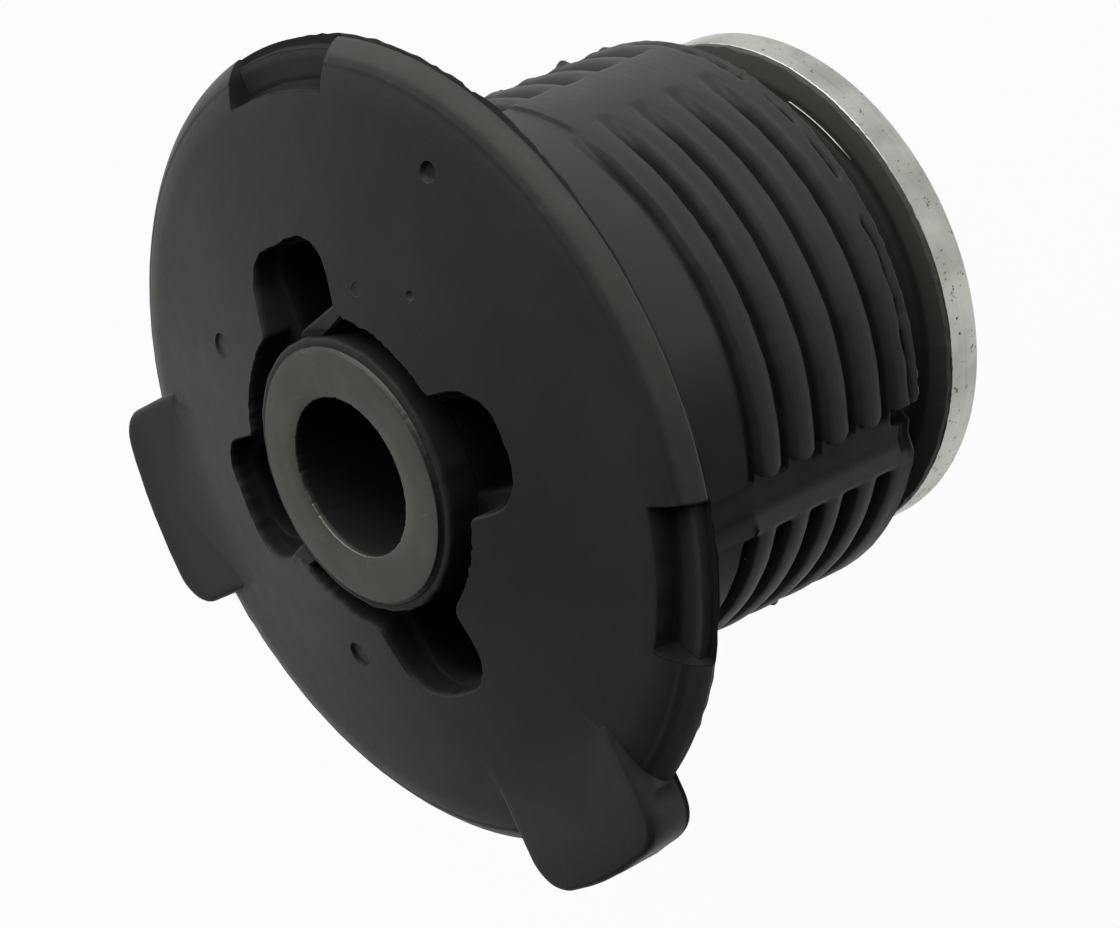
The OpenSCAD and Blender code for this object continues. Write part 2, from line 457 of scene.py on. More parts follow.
@dataclass(frozen=True)
class Web:
    """A bridge of rubber between a pocket and the ring gap.

    Attributes:
        pocket: Number of the pocket that it closes.
        side: The side of the pocket's middle line that it lies on.
        outline: Its corners, along the pocket's middle line and across it.
    """

    pocket: int
    side: int
    outline: tuple[tuple[float, float], ...]


@dataclass(frozen=True)
class Pip:
    """A small round sink in the face.

    Attributes:
        phi: Angle round the axis.
        r: Distance from the axis.
        width: Diameter across the radius.
        depth: Depth below the face.
    """

    phi: float
    r: float
    width: float
    depth: float


NOTCHES = (Notch(-11.0, 23.0), Notch(-123.0, 23.0))


@dataclass
class RubberMoulding:
    """The moulded rubber: coned flange, lugs, ribbed barrel, neck and the coat on the collar.

    Sizes of the channels but for their depth are angles, and so is what is named span. The fields
    named points, step and rows say how the mesh is laid out, and those named passes how often an
    outline is softened.
    """

    heights: Heights
    sectors: tuple[GrooveSector, ...] = (
        GrooveSector(-126.5, 66.5, True),
        GrooveSector(-24.0, 67.0, False),
        GrooveSector(53.5, 66.5, True),
        GrooveSector(156.0, 67.0, False),
    )
    notches: tuple[Notch, ...] = NOTCHES
    lugs: tuple[Lug, ...] = (Lug(90.0, -1), Lug(180.0, 1))
    pips: tuple[Pip, ...] = (
        Pip(-48.9, 25.6, 1.4, 0.4),
        Pip(41.1, 16.9, 2.0, 0.2),
        Pip(137.8, 16.6, 2.0, 0.24),
        Pip(-55.0, 17.0, 0.6, 0.15),
        Pip(-36.9, 14.8, 0.9, 0.07),
    )
    channels: tuple[float, ...] = (-130.0, 50.0)
    channel_depth: float = 0.8
    channel_span: float = 6.0
    channel_slope: float = 5.0
    channel_flat: float = 1.2
    groove_count: int = 5
    groove_pitch: float = 3.43
    groove_first: float = 3.05
    groove_width: float = 1.5
    groove_depth: float = 1.15
    runout_length: float = 9.0
    slot_depth: float = 1.5
    slot_reach: float = 2.4
    swell_out: float = 0.08
    swell_from: float = 21.0
    swell_run: float = 9.0
    tear_height: float = 0.85
    tear_depth: float = 0.42
    tear_width: float = 0.17
    seams: tuple[float, ...] = (-4.5, 175.5)
    seam_height: float = 0.12
    seam_rag: float = 0.17
    seam_span: float = 1.3
    root: float = 1.5
    parting_set: float = 0.4
    parting_rise: float = 0.485
    flash_out: float = 0.3
    flash_peak: float = -45.0
    flash_peak_span: float = 28.0
    flash_peak_out: float = 0.35
    rim_width: float = 3.5
    rim_inner_r: float = 27.3
    face_row_r: float = 26.4
    back_row_r: float = 26.5
    notch_floor_drop: float = 1.9
    notch_wall_set: float = 0.2
    notch_floor_width: float = 2.6
    lug_width: float = 16.2
    lug_reach: float = 34.1
    lug_offset: float = 3.6
    lug_thick: float = 3.95
    lug_corner: float = 3.0
    lug_edge: float = 0.5
    pockets: tuple[Pocket, ...] = (
        Pocket(-5.0, 9.6, 17.4, 3.0), Pocket(85.0, 9.6, 17.3, 2.8),
        Pocket(175.5, 9.8, 17.6, 3.6), Pocket(-98.0, 9.0, 16.9, 3.5),
    )
    pocket_depth: float = 13.0
    ledge: float = 1.1
    webs: tuple[Web, ...] = (
        Web(0, -1, ((9.3, -0.9), (10.9, -0.5), (12.5, 7.0), (11.6, 7.0), (9.3, -0.2))),
        Web(1, 1, ((8.5, 3.6), (11.4, 4.2), (13.4, 5.0), (12.8, 6.2), (8.5, 5.2))),
    )
    gap_depth: float = 2.6
    skin: float = 0.6
    skin_set: float = 0.35
    skin_rows: float = 8.0
    gap_points: int = 760
    gap_passes: int = 14
    pocket_points: int = 170
    web_points: int = 96
    pip_points: int = 28
    few_passes: int = 3
    fine_step: float = 0.62
    coarse_step: float = 1.25
    fine_from: float = -162.0
    fine_to: float = 22.0
    piece: bpy.types.Object | None = field(default=None, init=False)

    def columns(self) -> Points:
        """Angles of the mesh's columns, close together where the moulding shows its detail.

        Returns:
            The angles, in order.
        """
        shown = np.arange(self.fine_from, self.fine_to, self.fine_step)
        hidden = np.arange(self.fine_to, self.fine_from + 360.0, self.coarse_step)
        ends = [n.middle + s * n.span / 2.0 for n in self.notches for s in (-1, 1)]
        extra = [e + d for e in ends for d in (-0.3, -0.15, 0.15, 0.3)]
        extra += [c + d for c in self.channels for d in (-0.2, 0.2, self.channel_span)]
        angles = np.concatenate([shown, hidden, np.array(extra)])
        return np.unique(np.round(off_angle(angles, 0.0), 3))

    def groove_heights(self) -> Points:
        """Heights of the middles of the grooves, from the rear on."""
        first = self.heights.barrel_end + self.groove_first
        return first + self.groove_pitch * np.arange(self.groove_count)

    def barrel_rows(self) -> Points:
        """Heights of the barrel's rows, close together on the sides of the grooves.

        Returns:
            The heights, from the rear on.
        """
        sides = np.array([0.22, 0.42, 0.58, 0.74, 0.95, 1.2, 1.5])
        across = np.concatenate([-sides[::-1], [0.0], sides])
        rows = [z + across for z in self.groove_heights()]
        rows += [self.groove_heights()[:-1] + self.groove_pitch / 2.0]
        end = self.heights.barrel_end
        rows += [end + self.tear_height + np.array([-0.5, -0.24, -0.1, 0.0, 0.1, 0.24, 0.45])]
        rows += [self.heights.band_z + np.array([-0.3, -0.1, 0.0, 0.1, 0.3])]
        rows += [np.linspace(self.groove_heights()[-1] + 2.6, self.heights.back - self.root, 4)]
        return np.unique(np.round(np.concatenate(rows), 4))

    def groove_cut(self, z: Points, phi: Points) -> Points:
        """Depth that the grooves take from the barrel.

        Args:
            z: Heights.
            phi: Angles.

        Returns:
            The depth at each place.
        """
        h = self.heights
        depth = np.zeros(np.broadcast(z, phi).shape)
        for k, middle in enumerate(self.groove_heights()):
            across = np.abs(z - middle) - self.groove_width / 2.0
            for n, sector in enumerate(self.sectors):
                turn = turn_between(phi, sector.start)
                turn = np.where(turn > 200.0, turn - 360.0, turn)
                uneven = 0.18 * math.sin(2.1 * k + n)
                start = -np.radians(turn) * h.barrel_r + uneven
                end = np.radians(turn - sector.sweep) * h.barrel_r
                if sector.runs_out:
                    end = end - self.runout_length
                along = np.maximum(start, end)
                inside = np.minimum(np.maximum(across, along), 0.0)
                outside = np.hypot(np.maximum(across, 0.0), np.maximum(along, 0.0))
                edge = inside + outside
                section = 0.84 * smooth((0.1 - edge) / 0.6) + 0.16 * smooth((0.8 - edge) / 0.95)
                left = self.groove_depth
                if sector.runs_out:
                    past = np.radians(np.clip(turn - sector.sweep, 0.0, 40.0))
                    floor = (h.barrel_r - self.groove_depth) / np.cos(past)
                    left = np.clip(h.barrel_r - floor, 0.0, None)
                depth = np.maximum(depth, left * section)
        return depth

    def band_drop(self, z: Points) -> Points:
        """How far the smooth band next to the flange is set in behind the ribs."""
        h = self.heights
        return (h.barrel_r - h.band_r) * smooth((z - h.band_z + 0.1) / 0.2)

    def sway(self, z: Points, phi: Points) -> Points:
        """How far the grooves wander along the barrel.

        Args:
            z: Heights.
            phi: Angles of the columns.

        Returns:
            How far each place moves along the axis.
        """
        total = 0.0 * z
        for k, middle in enumerate(self.groove_heights()):
            slow = 0.025 * Wander(40 + k, 2, 14).at(phi) + 0.01 * Wander(50 + k, 15, 90).at(phi)
            pinch = 0.018 * Wander(60 + k, 4, 50).at(phi) * np.sign(z - middle)
            total = total + (slow + pinch) * smooth(1.5 - np.abs(z - middle) / 1.15)
        return total

    def channel_cut(self, z: Points, phi: Points) -> Points:
        """Depth that the two channels along the barrel take from it.

        Args:
            z: Heights.
            phi: Angles of the columns.

        Returns:
            The depth at each place.
        """
        h = self.heights
        depth = np.zeros(np.broadcast(z, phi).shape)
        apart = np.mod(z - self.groove_heights()[0] + self.groove_pitch / 2.0, self.groove_pitch)
        rib = self.groove_pitch / 2.0 - np.abs(apart - self.groove_pitch / 2.0)
        tip = 1.3 * np.clip(rib, 0.0, 1.05) ** 2 * (z < h.band_z)
        for start in self.channels:
            off = off_angle(phi, start)
            rise = np.clip((off + self.channel_slope) / (self.channel_slope - self.channel_flat), 0.0, 1.0)
            wall = smooth((self.channel_span + tip - off) / 0.9)
            depth = np.maximum(depth, self.channel_depth * rise * wall)
            slot = smooth((off - 2.0) / 0.8) * smooth((self.channel_span + 0.8 - off) / 0.8)
            rear = smooth((h.barrel_end + self.slot_reach - z) / 0.5)
            depth = np.maximum(depth, self.slot_depth * slot * rear)
        fade = smooth((h.back - self.root - z) / 0.6)
        return depth * fade

    def barrel(self, phi: Points) -> tuple[Points, Points]:
        """Radii and heights of the barrel's rows, with the ragged lip of its rear edge.

        Args:
            phi: Angles of the columns.

        Returns:
            Radii and heights, by row and column.
        """
        h = self.heights
        z = self.barrel_rows()[:, None] + 0.0 * phi
        swell = 0.015 * Wander(7, 2, 9).at(phi)
        swell = swell + self.swell_out * smooth((self.swell_from - z) / self.swell_run)
        cut = np.maximum(self.groove_cut(z, phi), self.channel_cut(z, phi))
        r = h.barrel_r + swell - np.maximum(cut, self.band_drop(z)) - self.tear(z, phi)
        r = r + self.seam(z, phi)
        z = z + self.sway(z, phi)
        ragged = 0.6 * Wander(11, 12, 110).at(phi)
        lip = smooth((ragged + 0.4) / 2.0) * smooth(np.cos(np.radians(phi + 75.0)) + 0.6)
        keep = 1.0 - smooth((h.barrel_r - r[0]) / 0.5)
        rear_r = np.stack([r[0] - 0.9, r[0] - 0.3 - 0.03 * ragged, r[0] - 0.1 + 0.04 * lip * keep,
                           r[0] + 0.01 + 0.03 * lip * keep])
        rear_z = h.barrel_end + np.stack([0.0 * lip, 0.0 * lip, 0.07 - 0.1 * lip * keep,
                                          0.2 - 0.05 * lip * keep])
        return np.concatenate([rear_r, r]), np.concatenate([rear_z, z])

    def tear(self, z: Points, phi: Points) -> Points:
        """Depth of the torn line round the last rib.

        Args:
            z: Heights.
            phi: Angles of the columns.

        Returns:
            The depth at each place.
        """
        middle = self.heights.barrel_end + self.tear_height + 0.07 * Wander(13, 3, 36).at(phi)
        shown = smooth(Wander(14, 3, 30).at(phi) + 1.1) * smooth(np.cos(np.radians(phi + 70.0)) * 2.0 - 0.6)
        broken = 0.6 + 0.4 * smooth(Wander(15, 10, 70).at(phi) + 0.9)
        return self.tear_depth * shown * broken * np.exp(-((z - middle) / self.tear_width) ** 2)

    def seam(self, z: Points, phi: Points) -> Points:
        """Height of the ragged flash along the barrel where the mould's halves met.

        Args:
            z: Heights.
            phi: Angles of the columns.

        Returns:
            The height of the flash at each place.
        """
        ragged = np.clip(Wander(16, 3, 40).at(z * 9.0), 0.0, 2.0)
        height = (self.seam_height + self.seam_rag * ragged) * smooth((self.heights.back - 3.0 - z) / 6.0)
        return sum(height * np.exp(-((off_angle(phi, turn) / self.seam_span) ** 2))
                   for turn in self.seams)

    def ragged_coat(self, r: Points, z: Points, phi: Points) -> Points:
        """Frays the outer edge of the coat on the collar.

        Args:
            r: Radii of the rear outline's rows.
            z: Heights of the rear outline's rows.
            phi: Angles of the columns.

        Returns:
            The new radii.
        """
        h = self.heights
        edge = (z > h.collar_front - 0.01) & (r > h.collar_r - 0.5)
        fray = 0.05 * Wander(71, 10, 60).at(phi)
        fray = fray + 0.06 * np.clip(Wander(72, 20, 150).at(phi) - 0.6, 0.0, 2.0)
        return np.where(edge, np.minimum(r + fray, h.collar_r - 0.04), r)

    def rear_path(self) -> Points:
        """Outline from the bonded sleeve round the rear hollow, the tube and the coat to the neck.

        Returns:
            Points of the outline.
        """
        h = self.heights
        rim = h.collar_rear + 0.8
        hollow = rim + 4.0
        lining = 1.4
        coat = h.collar_front + 0.45
        coat_r = h.collar_r - 0.11
        neck_r = h.tube_r + 0.7
        return rounded_path([
            Corner(h.sleeve_r, rim),
            Corner(h.sleeve_r + lining, rim, 0.3), Corner(h.sleeve_r + lining, hollow, 0.5),
            Corner(h.tube_inner_r - lining, hollow, 0.5), Corner(h.tube_inner_r - lining, rim, 0.3),
            Corner(h.tube_inner_r, rim), Corner(h.tube_inner_r, h.tube_front),
            Corner(h.tube_r, h.tube_front), Corner(h.tube_r, h.shoulder),
            Corner(h.shoulder_r, h.shoulder), Corner(h.shoulder_r, h.collar_front),
            Corner(coat_r, h.collar_front), Corner(coat_r, coat, 0.08, 2),
            Corner(neck_r, coat, 0.5, 4), Corner(neck_r, h.barrel_end, 0.6, 4),
            Corner(h.barrel_r - 1.2, h.barrel_end),
        ], 40.0)

    def root_path(self) -> Points:
        """Outline from the barrel through its root fillet to the rear edge of the flange.

        Returns:
            Points of the outline.
        """
        h = self.heights
        return rounded_path([
            Corner(h.band_r, h.back - self.root - 0.05),
            Corner(h.band_r, h.back, self.root, 6),
            Corner(self.back_row_r, h.back),
            Corner(h.flange_r - 2.0 * self.parting_set, h.back, 0.2),
            Corner(h.flange_r - self.parting_set, h.back + 0.5),
        ], 3.2)[1:]

    def rim_rows(self) -> tuple[Points, Points]:
        """Radii and heights of the rim, from its widest line in to the edge of the face.

        Returns:
            A radius and a height for each row.
        """
        h = self.heights
        r = np.array([h.flange_r, 30.97, 30.86, 30.66, 30.35, 30.0, 29.66, 29.52, 29.42, 29.2,
                      28.8, 28.3, 27.9, 27.6, self.rim_inner_r])
        slope = np.interp(r[::-1],
                          [self.rim_inner_r, 27.7, 28.4, 29.42, 29.54, 30.3, 30.8, h.flange_r],
                          [h.face_slope, 17.0, 22.0, 24.0, 38.0, 42.0, 58.0, 76.0])
        drop = np.concatenate([[0.0], np.cumsum(np.diff(r[::-1])
                                                * np.tan(np.radians((slope[1:] + slope[:-1]) / 2.0)))])
        z = h.face_at(r[-1]) - drop[::-1] - 0.09 * np.exp(-((r - 29.35) / 0.14) ** 2)
        return r, z

    def rim(self, phi: Points) -> tuple[Points, Points]:
        """Radii and heights of the parting line, the flash and the rim, with the notches in it.

        Args:
            phi: Angles of the columns, as one row.

        Returns:
            Radii and heights, a row of each for every row of the mesh.
        """
        h = self.heights
        rim_r, rim_z = self.rim_rows()
        set_r = h.flange_r - self.parting_set
        ridge = h.back + self.parting_rise
        off_peak = off_angle(phi, self.flash_peak) / self.flash_peak_span
        lifted = np.exp(-(off_peak ** 4)) * self.flash_peak_out
        ragged = Wander(3, 20, 130).at(phi)
        slow = Wander(4, 3, 24).at(phi)
        tip = self.flash_out - 0.08 + 0.03 * ragged + 0.05 * slow + lifted
        tears = smooth((Wander(5, 8, 60).at(phi) - 1.4) / 0.6)
        tip = np.clip(tip - 0.2 * tears, 0.02, None)
        # The flash stays in the square that the frame's box leaves it.
        limit = h.flange_r / np.max(np.abs(polar(1.0, phi)), axis=0)
        tip = np.minimum(tip, limit - 0.01 - set_r)
        bow = 0.03 * Wander(6, 6, 50).at(phi)
        flat = np.ones_like(phi)
        flash_r = np.stack([set_r * flat, set_r + 0.5 * tip, set_r + tip, set_r + tip,
                            set_r + 0.5 * tip, set_r * flat])
        flash_z = np.stack([(ridge - 0.02) * flat, ridge + 0.02 + 0.5 * bow, ridge + 0.07 + bow,
                            ridge + 0.15 + bow, ridge + 0.22 + 0.5 * bow, (ridge + 0.28) * flat])
        lower_r = np.stack([(set_r + 0.12) * flat, (h.flange_r - 0.08) * flat])
        lower_z = np.stack([(ridge + 0.34) * flat, (rim_z[0] - 0.18) * flat])
        band = 0.035 * Wander(8, 20, 130).at(phi) * np.exp(-((rim_r[:, None] - 29.5) / 0.12) ** 2)
        r = rim_r[:, None] + band
        z = rim_z[:, None] + 0.0 * phi
        r, z = self.notched(r, z, phi)
        return np.concatenate([flash_r, lower_r, r]), np.concatenate([flash_z, lower_z, z])

    def notched(self, r: Points, z: Points, phi: Points) -> tuple[Points, Points]:
        """Bends the rows of the rim into the notches.

        Args:
            r: Radii of the rim's rows.
            z: Heights of the rim's rows.
            phi: Angles of the columns.

        Returns:
            The new radii and heights.
        """
        h = self.heights
        face_r = h.flange_r - self.rim_width
        wall = face_r + self.notch_wall_set
        floor = h.face_at(face_r) - self.notch_floor_drop
        outer = wall + self.notch_floor_width
        path = rounded_path([
            Corner(outer + 0.1, h.back + 0.86), Corner(outer + 0.02, floor, 0.15, 2),
            Corner(wall + 0.05, floor, 0.5, 4), Corner(wall, h.face_at(wall) - 0.02, 0.15, 2),
            Corner(self.rim_inner_r, h.face_at(self.rim_inner_r)),
        ], 40.0)
        run = np.concatenate([[0.0], np.cumsum(np.linalg.norm(np.diff(path, axis=0), axis=1))])
        share = np.linspace(0.0, run[-1], len(r))
        cut_r = np.interp(share, run, path[:, 0])
        cut_z = np.interp(share, run, path[:, 1])
        weight = np.zeros_like(phi)
        for n in self.notches:
            inside = (n.span / 2.0 - np.abs(off_angle(phi, n.middle))) / 0.7
            weight = np.maximum(weight, smooth(inside + 0.5))
        wobble = 0.02 * Wander(9, 10, 70).at(phi) * weight
        r = r * (1.0 - weight) + (cut_r[:, None] + wobble) * weight
        z = z * (1.0 - weight) + cut_z[:, None] * weight
        return r, z

    def front_path(self) -> Points:
        """Outline from the face in to the skin on the sleeve.

        Returns:
            Points of the outline.
        """
        h = self.heights
        skin_r = h.sleeve_r + self.skin
        mid = (skin_r + h.gap_r) / 2.0
        return rounded_path([
            Corner(self.face_row_r, float(h.face_at(self.face_row_r))),
            Corner(mid, float(h.face_at(mid))),
            Corner(h.sleeve_r + self.skin / 2.0, h.top - self.skin_set),
            Corner(h.sleeve_r, h.top - self.skin_set),
            Corner(h.sleeve_r, h.collar_rear + 0.8),
        ], 4.0)

    def body(self) -> bpy.types.Object:
        """The turned form of the moulding, from one closed outline.

        Returns:
            The new object.
        """
        phi = self.columns()
        rear = self.rear_path()
        root = self.root_path()
        front = self.front_path()
        front = front[front[:, 1] > self.heights.top - self.skin_rows]
        barrel_r, barrel_z = self.barrel(phi)
        rim_r, rim_z = self.rim(phi)
        flat = 0.0 * phi
        rear_z = rear[:-1, 1:] + flat
        rear_r = self.ragged_coat(rear[:-1, :1] + flat, rear_z, phi)
        r = np.concatenate([rear_r, barrel_r, root[:, :1] + flat, rim_r, front[:, :1] + flat])
        z = np.concatenate([rear_z, barrel_z, root[:, 1:] + flat, rim_z, front[:, 1:] + flat])
        log.info("moulding: %d rows and %d columns", *r.shape)
        return lathe("rubber_moulding", r, z, phi)

    def lug_outline(self, side: int, inset: float) -> Points:
        """Outline of a lug that points along X, made smaller all round.

        Args:
            side: The side of the radial line that its middle lies on.
            inset: How much smaller it is all round.

        Returns:
            Points of the outline, counter-clockwise.
        """
        corner = self.lug_corner
        reach = self.lug_reach - inset
        low = side * self.lug_offset - self.lug_width / 2.0 + inset
        high = side * self.lug_offset + self.lug_width / 2.0 - inset
        ends = [np.array([math.sqrt((reach - corner) ** 2 - y**2), y])
                for y in (low + corner, high - corner)]
        turns = [math.degrees(math.atan2(end[1], end[0])) for end in ends]
        inner = self.heights.barrel_r + 1.0 + inset
        return np.concatenate([
            np.column_stack([np.linspace(inner, ends[0][0], 12)[:-1], np.full(11, low)]),
            ends[0] + np.stack(polar(corner, np.linspace(-90.0, turns[0], 10)), -1),
            np.stack(polar(reach, np.linspace(turns[0], turns[1], 18)[1:-1]), -1),
            ends[1] + np.stack(polar(corner, np.linspace(turns[1], 90.0, 10)), -1),
            np.column_stack([np.linspace(ends[1][0], inner, 12)[1:], np.full(11, high)]),
        ])

    def lug(self, lug: Lug) -> bpy.types.Object:
        """A lug with rounded corners and edges, which reaches into the flange.

        Args:
            lug: The lug.

        Returns:
            The new object.
        """
        back = self.heights.back
        front = back + self.lug_thick
        edge = self.lug_edge
        levels = [(0.35, back + 0.02), (0.08, back + 0.12), (0.0, back + 0.35), (0.0, front - edge)]
        for a in np.radians([18.0, 36.0, 54.0, 72.0, 90.0]):
            levels.append((edge * (1.0 - math.cos(a)), front - edge * (1.0 - math.sin(a))))
        levels.append((edge + 0.6, front))
        rings = []
        for inset, z in levels:
            ring = self.lug_outline(lug.side, inset)
            wave = 0.025 * Wander(90 + lug.side, 2, 9).at(np.linspace(0.0, 360.0, len(ring)))
            ring = ring * (1.0 - np.abs(wave[:, None]) / self.lug_reach)
            rings.append(level_ring(ring, 0.0, z))
        return turned(stacked("lug", rings), lug.turn)

    def pocket_radius(self, pocket: Pocket, phi: Points) -> Points:
        """Distance from the axis to the wall of a pocket, or 0 away from it.

        Args:
            pocket: The pocket.
            phi: Angles.

        Returns:
            The distance at each angle.
        """
        half, far, corner = pocket.width / 2.0, pocket.reach, pocket.corner
        widest = 80.0
        turn = np.abs(off_angle(phi, pocket.turn))
        off = np.radians(np.minimum(turn, widest))
        radius = np.minimum(far / np.cos(off), half / np.maximum(np.sin(off), 1e-6))
        cx, cy = far - corner, half - corner
        b = np.cos(off) * cx + np.sin(off) * cy
        inner = b * b - (cx * cx + cy * cy - corner * corner)
        arc = b + np.sqrt(np.maximum(inner, 0.0))
        x, y = radius * np.cos(off), radius * np.sin(off)
        radius = np.where((x > cx) & (y > cy) & (inner > 0.0), arc, radius)
        return np.where(turn < widest, radius, 0.0)

    def gap_tool(self) -> bpy.types.Object:
        """The ring gap and the mouths of the pockets, as a tool with a rounded mouth.

        Returns:
            The tool.
        """
        h = self.heights
        phi = np.linspace(0.0, 360.0, self.gap_points, endpoint=False)
        walls = [self.pocket_radius(pocket, phi) for pocket in self.pockets]
        outer = np.max([*walls, np.full(len(phi), h.gap_r)], axis=0)
        outline = even_ring(np.stack(polar(outer, phi), -1), self.gap_points)
        outline = soften_ring(outline, self.gap_passes)
        turn = np.degrees(np.arctan2(outline[:, 1], outline[:, 0]))
        ragged = 0.03 * Wander(21, 25, 110).at(turn) + 0.045 * Wander(22, 8, 36).at(turn)
        outline = outline + ragged[:, None] * outline / np.linalg.norm(outline, axis=1)[:, None]
        skin = h.sleeve_r + self.skin + 0.03 * Wander(23, 4, 40).at(turn)
        floor = h.face - self.gap_depth
        inner = np.column_stack(polar(skin, turn))
        brow = h.face_at(np.linalg.norm(outline, axis=1))
        bed = h.top - self.skin_set
        levels = [
            (inner, 0.25, floor), (outline, -0.35, floor), (outline, -0.1, floor + 0.1),
            (outline, 0.0, floor + 0.35), (outline, 0.0, brow - 0.25), (outline, 0.05, brow - 0.1),
            (outline, 0.16, brow), (outline, 0.26, brow + 0.08), (outline, 0.3, h.top + 2.0),
            (inner, -0.25, h.top + 2.0), (inner, -0.25, bed + 0.02), (inner, -0.08, bed - 0.08),
            (inner, 0.0, bed - 0.3), (inner, 0.0, floor + 0.2),
        ]
        tool = closed_grid("gap_tool", np.stack([level_ring(*level) for level in levels]))
        for web in self.webs:
            combine(tool, self.web_block(web), Cut.REMOVE)
        return tool

    def web_block(self, web: Web) -> bpy.types.Object:
        """The room of a web that parts a pocket from the ring gap.

        Args:
            web: The web.

        Returns:
            The block that the tool of the gap leaves standing.
        """
        h = self.heights
        outline = np.array(web.outline) * [1.0, web.side]
        outline = even_ring(outline[::web.side], self.web_points)
        outline = soften_ring(outline, self.few_passes)
        bed = h.top - self.skin_set
        levels = [(0.2, h.face - self.gap_depth - 1.0), (0.12, h.face - 0.6), (0.0, bed - 0.6),
                  (-0.15, bed - 0.45)]
        rings = [level_ring(outline, out, z) for out, z in levels]
        return turned(stacked("web", rings), self.pockets[web.pocket].turn)

    def pocket_tool(self, pocket: Pocket) -> bpy.types.Object:
        """The deep part of a pocket, behind its ledge.

        Args:
            pocket: The pocket.

        Returns:
            The tool.
        """
        h = self.heights
        half = pocket.width / 2.0 - self.ledge
        far, corner = pocket.reach - self.ledge / 2.0, pocket.corner - self.ledge / 2.0
        near = h.sleeve_r + self.skin
        angles = np.linspace(-90.0, 0.0, 9)
        arc = np.stack(polar(corner, angles), -1)
        start = math.degrees(math.asin(half / near))
        inner = np.stack(polar(near, np.linspace(start, -start, 24)), -1)
        outline = np.concatenate([arc + [far - corner, corner - half],
                                  arc[::-1] * [1.0, -1.0] + [far - corner, half - corner], inner])
        outline = soften_ring(even_ring(outline, self.pocket_points), self.few_passes)
        bottom = h.top - self.pocket_depth
        floor = h.face - self.gap_depth
        levels = [(-1.2, bottom), (-0.5, bottom + 0.2), (-0.15, bottom + 0.7), (0.0, bottom + 1.5),
                  (0.05, floor - 0.3), (0.12, floor - 0.1), (0.22, floor), (0.3, floor + 0.2)]
        rings = [level_ring(outline, out, z) for out, z in levels]
        return turned(stacked("pocket", rings), pocket.turn)

    def pip_tool(self, pip: Pip) -> bpy.types.Object:
        """A small round sink with a soft edge.

        Args:
            pip: The sink.

        Returns:
            The tool.
        """
        h = self.heights
        a = np.linspace(0.0, 360.0, self.pip_points, endpoint=False)
        circle = np.stack(polar(pip.width / 2.0, a), -1)
        levels = [(-0.12, -pip.depth), (0.0, -pip.depth * 0.6), (0.04, -0.05), (0.12, 0.03), (0.14, 0.5)]
        x, y = polar(pip.r, pip.phi)
        rings = []
        for out, z in levels:
            ring = offset_ring(circle, out) + [x, y]
            rings.append(np.column_stack([ring, h.face_at(np.linalg.norm(ring, axis=1)) + z]))
        return stacked("pip", rings)

    def build(self) -> None:
        """Makes the moulding: the turned form, its lugs, and the cuts in its face."""
        self.piece = self.body()
        for lug in self.lugs:
            combine(self.piece, self.lug(lug), Cut.JOIN)
        combine(self.piece, self.gap_tool(), Cut.REMOVE)
        for pocket in self.pockets:
            combine(self.piece, self.pocket_tool(pocket), Cut.REMOVE)
        for pip in self.pips:
            combine(self.piece, self.pip_tool(pip), Cut.REMOVE)
        drop_slivers(self.piece)

    def dress(self) -> None:
        """Gives the moulding its finish and its place in the frame."""
        settle(self.piece, Node.RUBBER, RubberFinish(self.heights).material())


@dataclass
class BoltSleeve:
    """The inner steel sleeve, with worn edges and nicks on its front face."""

    heights: Heights
    chamfer: float = 0.26
    columns: int = 320
    piece: bpy.types.Object | None = field(default=None, init=False)

    def build(self) -> None:
        """Makes the sleeve from one closed outline."""
        h = self.heights
        c = self.chamfer
        path = rounded_path([
            Corner(h.bore_r, h.top / 2.0), Corner(h.bore_r, 0.0, 0.12), Corner(h.sleeve_r - c, 0.0, 0.2),
            Corner(h.sleeve_r, c, 0.2), Corner(h.sleeve_r, h.top - c, 0.2),
            Corner(h.sleeve_r - c, h.top, 0.12), Corner(h.bore_r, h.top, 0.1),
            Corner(h.bore_r, h.top / 2.0 + 1.0),
        ], 1.6)
        phi = np.linspace(-180.0, 180.0, self.columns, endpoint=False)[None, :]
        r = path[:, :1] + 0.0 * phi
        z = path[:, 1:] + 0.0 * phi
        edge = nearness(path, h.sleeve_r, h.top, 0.3)
        r = r - 0.03 * edge * np.abs(Wander(51, 12, 90).at(phi))
        mouth = nearness(path, h.bore_r, h.top, 0.05)
        r = r + 0.05 * mouth * np.clip(Wander(52, 15, 120).at(phi) - 0.3, 0.0, None)
        self.piece = lathe("bolt_sleeve", r, z, phi)

    def dress(self) -> None:
        """Gives the sleeve its finish and its place in the frame."""
        settle(self.piece, Node.BOLT_SLEEVE, SleeveFinish(self.heights).material())


